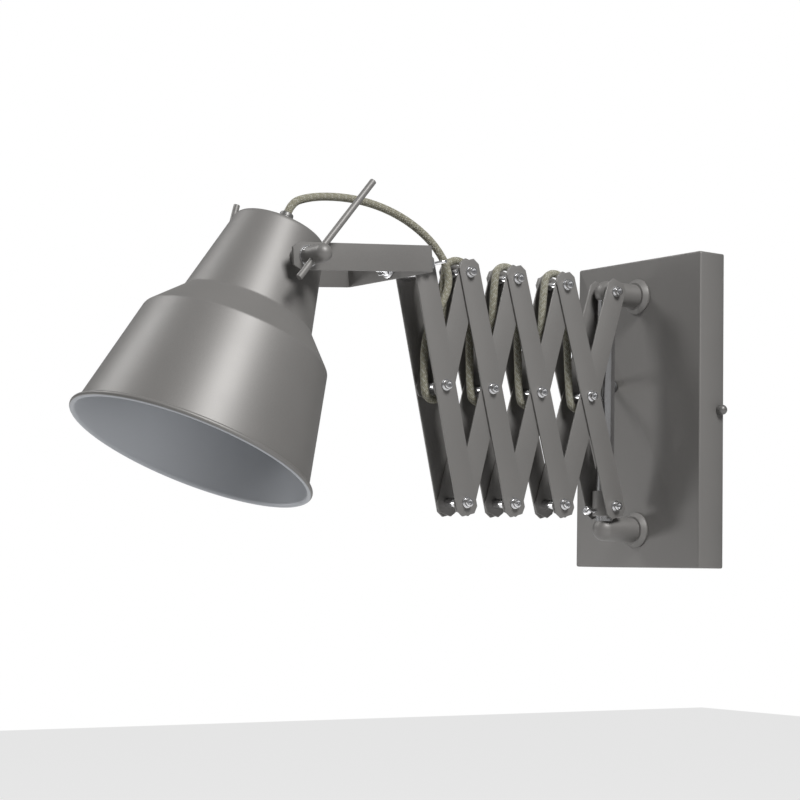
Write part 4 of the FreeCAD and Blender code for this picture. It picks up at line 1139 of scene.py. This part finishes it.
@dataclass
class Shade:
    """The spun shade with what is fixed to it, and its two tommy-bar handles."""

    sheet: float = 1.2
    top: tuple[float, float] = (35.4, AT.gland_foot)
    neck: tuple[float, float] = (50.6, -41.3)
    shoulder: tuple[float, float] = (71.9, -65.6)
    rim: tuple[float, float] = (89.5, -153.3)
    bead: float = 2.2
    bead_steps: int = 18
    bead_outside: int = 13
    clamp_seat: float = 56.1
    hub_seat: float = 57.2
    hub: float = 6.9
    hub_length: float = 17
    rod: float = 2.5
    rod_length: float = 100
    rod_across: float = 67
    handles: dict[Side, tuple[float, float]] = field(
        default_factory=lambda: {Side.NEAR: (-39, 26), Side.FAR: (-14, 7.5)})

    def wall(self, inset: float) -> np.ndarray:
        """The shade's profile from its top out to its rim, drawn in."""
        drop = inset * 0.4
        corners = [(1.0, self.top[1] - inset), (self.top[0] - inset, self.top[1] - inset),
                   (self.neck[0] - inset, self.neck[1] - drop),
                   (self.shoulder[0] - inset, self.shoulder[1] - drop),
                   (self.rim[0] - inset, self.rim[1])]
        return rounded(corners, [0, 5 - inset, 5 + inset, 5 - inset, 0], steps=8)

    def skin(self) -> tuple[Surface, np.ndarray]:
        """The shade as one closed skin, and which points are inside it."""
        outer, inner = self.wall(0), self.wall(self.sheet)
        angle = np.linspace(0.75, 2 * math.pi - 1.1, self.bead_steps)
        centre = np.array([self.rim[0] + self.bead * 0.5, self.rim[1]])
        roll = centre + self.bead * np.stack([np.cos(math.pi - angle), np.sin(angle)], 1)
        profile = np.vstack([outer[:-1], roll, inner[::-1]])
        columns = 144
        inside = np.zeros(len(profile))
        inside[len(outer) - 1 + self.bead_outside:] = 1
        return AT.shade(spun(profile, columns)), np.repeat(inside, columns)

    def gland(self) -> Surface:
        """The cable gland: a barrel, a step and a rounded cap."""
        base, tip = AT.gland_foot, AT.gland_foot + AT.gland_length
        return AT.shade(lathe([(3.15, base), (6.5, base), (6.5, base + 11), (5.3, base + 12.1),
                               (5.2, tip), (3.15, tip)],
                              [0, 0.3, 0.5, 0.3, 1.2, 0.3], 40, 4))

    def holder(self) -> Surface:
        """The lampholder's body, with a grip ring and a waist."""
        top, floor = 22, 4
        return AT.shade(lathe([(5.05, top), (13, top), (18, top - 9), (18, top - 24),
                               (20, top - 25), (20, top - 52), (14.3, top - 52), (14.3, floor),
                               (5.05, floor)], [0, 1, 2.5, 0.4, 0.6, 1, 0.6, 0.4, 0],
                              64, 4, ring=True))

    def clamps(self) -> Surface:
        """The washers outside the yoke's arms."""
        return AT.shade(joined(
            washer(8, 3.05, 1, 40, 0.3).moved((s * self.clamp_seat, 0, 0), sideways(s).matrix)
            for s in (1, -1)))

    def hub_skin(self, side: int) -> Surface:
        """A handle's hub: a round bar with a ball end."""
        foot = [(self.hub - 0.5, 0), (self.hub, 0.5)]
        skin = domed(foot, self.hub, self.hub_length, self.hub, 12, 48)
        skin = skin.moved((side * self.hub_seat, 0, 0), sideways(side).matrix)
        return skin.moved(AT.shade_pivot())

    def rod_skin(self, side: Side) -> Surface:
        """A handle's cross bar, with eased ends."""
        turn, offset = self.handles[side]
        half = self.rod_length / 2
        bar = pin(self.rod, offset - half, offset + half, 0.6, steps=3, flat=0.3)
        skin = bar.turned(about_x(turn))
        return skin.moved(AT.shade_pivot() + np.array([side.value * self.rod_across, 0, 0]))

    def build(self) -> None:
        """Make and dress the shade and its handles."""
        skin, inside = self.skin()
        spun_shade = make("spun_shade", skin, Finishes.shade, "shade", ["shade"], crease=40)
        mask = spun_shade.data.attributes.new("inside", "FLOAT", "POINT")
        mask.data.foreach_set("value", inside)
        make("gland", self.gland(), Finishes.trim, "shade", ["cable_gland"])
        make("holder", self.holder(), Finishes.black, "shade", ["lampholder"])
        make("clamps", self.clamps(), Finishes.chrome, "shade", ["clamp_washers"])
        dress("shade_studs", Finishes.chrome)
        dress("stud_bushes", Finishes.paint)
        dress("holder_contacts", Finishes.brass)
        dress("holder_nipple", Finishes.steel)
        for side in Side:
            tag = side.name.lower()
            make(f"hub_{tag}", self.hub_skin(side.value), Finishes.paint, f"handle_{tag}",
                 [f"handle_hub_{tag}"])
            make(f"tommy_bar_{tag}", self.rod_skin(side), Finishes.paint, f"rod_{tag}",
                 [f"handle_rod_{tag}"])


# ---- Cable ----

@dataclass
class Cable:
    """The braided cable: a free arc over the yoke, and a run woven through the scissor."""

    radius: float = 3.1
    under: float = 10.8
    over: float = 12.2
    open_loops: tuple[int, int] = (1, 5)
    gland_gap: float = 0.15
    join_out: float = 13

    def start(self) -> np.ndarray:
        """Where the cable leaves its gland, in metres."""
        tip = np.array([0, 0, AT.gland_foot + AT.gland_length + self.gland_gap])
        return (about_x(AT.shade_lean) @ tip + AT.shade_pivot()) * MM

    def join_y(self) -> float:
        """How far out the free arc meets the woven run."""
        return AT.middle(1)[0] - self.join_out

    def arc_route(self) -> list[tuple[float, float, float]]:
        """The free arc's points, in metres."""
        y = self.join_y() * MM
        return [tuple(self.start()), (0, -0.3788, 0.1356), (0, -0.3665, 0.1409),
                (0, -0.348, 0.1446), (0, -0.322, 0.146), (0.0005, -0.294, 0.1424),
                (0.0012, -0.268, 0.1334), (0.0024, -0.2455, 0.1185), (0.0036, -0.2318, 0.0992),
                (0.0038, -0.2336, 0.0795), (0.002, y, 0.049), (0.002, y, 0.028)]

    def loop(self, y: float, z: float, radius: float, way: int,
             across: tuple[float, float]) -> list[tuple[float, float, float]]:
        """A half-turn's four corners under a pivot (way -1) or over one (way 1)."""
        short = radius * math.tan(math.radians(22.5))
        corners = ((-radius, short), (-short, radius), (short, radius), (radius, short))
        step = (across[1] - across[0]) / 3
        return [((across[0] + step * i) * MM, (y + dy) * MM, (z + way * dz) * MM)
                for i, (dy, dz) in enumerate(corners)]

    def woven_route(self) -> list[tuple[float, float, float]]:
        """The woven run's points, in metres: under each middle pivot, over each top one."""
        points = [(0.002, self.join_y() * MM, 0.028)]
        for cell in range(1, AT.cells + 1):
            y, z = AT.middle(cell)
            points += self.loop(y - 2.2, z, self.under, -1, (2, -3.6) if cell == 1 else (0, 0))
            if cell < AT.cells:
                y, z = AT.top(cell)
                points += self.loop(y - 1.8, z - 2, self.over, 1,
                                    (-3.6, 0) if cell == 1 else (0, 0))
        points[-1] = (-0.0015, *points[-1][1:])
        x, z = AT.grommet[0] * MM, AT.grommet[1] * MM
        return points + [(-0.0134, -0.067, 0.013), (-0.025, -0.049, 0.022), (x, -0.037, z),
                         (x, -0.016, z), (x, -0.0095, 0.013), (x + 0.004, -0.0085, 0.001)]

    def line(self, route: Sequence[Sequence[float]], fineness: int) -> np.ndarray:
        """Points read from the smooth curve whose control points are the route's."""
        curve = bpy.data.curves.new("route", "CURVE")
        curve.dimensions = "3D"
        spline = curve.splines.new("NURBS")
        spline.points.add(len(route) - 1)
        for point, place in zip(spline.points, route):
            point.co = (*place, 1)
        spline.order_u = 3
        spline.use_endpoint_u = True
        spline.resolution_u = fineness
        holder = placed("route", curve)
        bpy.context.view_layer.update()
        read = bpy.data.meshes.new_from_object(holder)
        points = np.array([v.co for v in read.vertices], float)
        bpy.data.objects.remove(holder)
        bpy.data.meshes.remove(read)
        return points

    def tube(self, name: str, path: np.ndarray, start: float) -> bpy.types.Object:
        """A length of cable along a path in metres."""
        skin = swept(path, self.radius * MM, 24, start)
        skin.points = skin.points / MM
        return make(name, skin, Finishes.braid, None, crease=60)

    def build_arc(self) -> float:
        """The free arc in three pieces.

        Returns:
            The arc's length in metres.
        """
        route = [np.array(p) for p in self.arc_route()]
        first, second = (route[3] + route[4]) / 2, (route[5] + route[6]) / 2
        parts = [("cable_at_shade", [*route[:4], first], "shade", "yoke"),
                 ("cable_at_yoke", [first, *route[4:6], second], "yoke", "head"),
                 ("cable_at_head", [second, *route[6:]], "head", "outer_link_1")]
        length = 0.0
        for name, points, before, after in parts:
            path = self.line(points, 14)
            own = float(run(path)[-1])
            piece = self.tube(name, path, length)
            length += own
            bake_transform(piece)
            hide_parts("cable_arc")
        return length

    def build_woven(self, start: float) -> None:
        """The woven run, one piece round each pivot, and the last round the slide tube.

        The loops over two of the top pivots are halves that turn about them with their bars.
        """
        path = self.line(self.woven_route(), 10)
        along = start + run(path)
        links = ["outer_link_1", "inner_link_1", "outer_link_2", "inner_link_2", "outer_link_3",
                 "inner_link_3", "outer_link_4", "inner_link_4", "wall"]
        pivots = [spot for cell in range(1, AT.cells + 1)
                  for spot in ([AT.middle(cell), AT.top(cell)][:1 + (cell < AT.cells)])]
        cuts, far = [0], 9  # far is more metres than any point lies away
        for here, there in zip(pivots, pivots[1:]):
            half = (here[1] + there[1]) / 2 * MM
            side = (path[:, 1] > (min(here[0], there[0]) - 1) * MM) & \
                   (path[:, 1] < (max(here[0], there[0]) + 16) * MM)
            near = np.where(side & (np.arange(len(path)) > cuts[-1] + 8),
                            np.abs(path[:, 2] - half), far)
            first = int(np.flatnonzero(near < 0.02)[0])
            cuts.append(first + int(np.argmin(near[first:first + 14])))
        last_loop = int(np.argmin(np.abs(path[:, 1] + 0.0785) + (path[:, 2] > 0.03) * far
                                  + (np.arange(len(path)) < cuts[-1]) * far))
        cuts += [last_loop, len(path) - 1]
        for number, (low, high) in enumerate(zip(cuts, cuts[1:])):
            if number in self.open_loops:
                top = low + int(np.argmax(path[low:high + 1, 2]))
                for half, (first, last) in enumerate(((low, top), (top, high))):
                    piece = self.tube(f"woven_cable_{number + 1}_{'ab'[half]}",
                                      path[first:last + 1], along[first])
                    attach(piece, links[number + half])
                    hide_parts("scissor_cable")
                continue
            piece = self.tube(f"woven_cable_{number + 1}", path[low:high + 1], along[low])
            y, z = pivots[min(number, len(pivots) - 1)]
            lead, tail = (0, (y - 9) * MM, z * MM), (0, (y + 5) * MM, z * MM)
            if number == len(cuts) - 2:
                lead, tail = tuple(path[low + 1]), (path[low][0] - 0.02, -0.04, path[low][2])
            links[number + 1]
            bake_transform(piece)
            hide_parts("scissor_cable")

    def build(self) -> None:
        """Make the whole cable."""
        self.build_woven(self.build_arc())


# ---- Studio ----

@dataclass
class Studio:
    """The camera at the photograph's place, soft lamps, and a plain floor."""

    azimuth: float = 53.807
    pitch: float = 5.006
    roll: float = 1.087
    lens: float = 89.74
    sensor: float = 36
    place: tuple[float, float, float] = (1.23808, -1.18092, -0.13988)
    floor: float = -1.3
    floor_half: float = 12.0
    ambient: float = 0.03
    mirrored: float = 0.22
    floor_glow: float = 0.75
    lamps: tuple[tuple[str, tuple[float, float, float], float, float], ...] = (
        ("key", (2.3, -0.5, 2.2), 1, 120),
        ("front", (-1.6, -1.6, 1.8), 0.8, 26),
        ("low", (-1.6, -1.5, -0.5), 0.4, 6))

    def camera(self) -> None:
        """Set the camera up."""
        data = bpy.data.cameras.new("camera")
        data.lens, data.sensor_width = self.lens, self.sensor
        data.clip_start, data.clip_end = 0.05, 60
        camera = placed("camera", data)
        a, p, r = (math.radians(v) for v in (self.azimuth, self.pitch, self.roll))
        forward = Vector((-math.sin(a) * math.cos(p), math.cos(a) * math.cos(p), math.sin(p)))
        right = Vector((math.cos(a), math.sin(a), 0))
        up = right.cross(forward)
        across = right * math.cos(r) + up * math.sin(r)
        rise = up * math.cos(r) - right * math.sin(r)
        turn = Matrix((across, rise, -forward)).transposed().to_4x4()
        camera.matrix_world = Matrix.Translation(self.place) @ turn
        bpy.context.scene.camera = camera

    def lamp(self, name: str, place: Sequence[float], size: float, power: float) -> None:
        """A square soft lamp that faces the lamp's middle."""
        data = bpy.data.lights.new(name, "AREA")
        data.shape, data.size, data.energy = "SQUARE", size, power
        lamp = placed(name, data)
        lamp.location = place
        aim = Vector((0, -0.2, 0)) - Vector(place)
        lamp.rotation_mode = "QUATERNION"
        lamp.rotation_quaternion = aim.to_track_quat("-Z", "Y")

    def backdrop(self) -> None:
        """White to the camera, mirrors and glass, and a soft grey as light."""
        world = bpy.data.worlds.new("studio")
        bpy.context.scene.world = world
        nodes = Nodes(world)
        seen, mirror = nodes.rays("Camera", "Transmission"), nodes.rays("Glossy")
        strength = seen.most(mirror * self.mirrored) * (1 - self.ambient) + self.ambient
        light = nodes.add("ShaderNodeBackground", None, Color=(1, 1, 1, 1), Strength=strength)
        nodes.add("ShaderNodeOutputWorld", None, _0=light.outputs[0])

    def ground(self) -> None:
        """A pale floor that keeps the shadow and is otherwise as light as the backdrop."""
        mesh = bpy.data.meshes.new("floor")
        wide, low = self.floor_half, self.floor
        mesh.from_pydata([(-wide, -wide, low), (wide, -wide, low), (wide, wide, low),
                          (-wide, wide, low)], [], [(0, 1, 2, 3)])
        floor = placed("floor", mesh)
        pale = bpy.data.materials.new("pale_floor")
        nodes = Nodes(pale)
        seen = nodes.rays("Camera", "Glossy", "Transmission")
        matt = nodes.add("ShaderNodeBsdfDiffuse", None, Color=(0.85, 0.85, 0.85, 1))
        glow = nodes.add("ShaderNodeEmission", None, Color=(1, 1, 1, 1),
                         Strength=seen * self.floor_glow)
        both = nodes.add("ShaderNodeAddShader", None, _0=matt.outputs[0], _1=glow.outputs[0])
        nodes.add("ShaderNodeOutputMaterial", None, _0=both.outputs[0])
        mesh.materials.append(pale)

    def build(self) -> None:
        """Set the scene up."""
        scene = bpy.context.scene
        scene.view_settings.view_transform = "Standard"
        self.camera()
        self.backdrop()
        self.ground()
        for name, place, size, power in self.lamps:
            self.lamp(name, place, size, power)


def main() -> None:
    """Build the studio, and then the lamp from the wall out."""
    logging.basicConfig(level=logging.INFO)
    Studio().build()
    Cable().build()
    for assembly in (WallUnit(), Scissor(), Head(), Shade()):
        assembly.build()


if __name__ == "__main__":
    main()
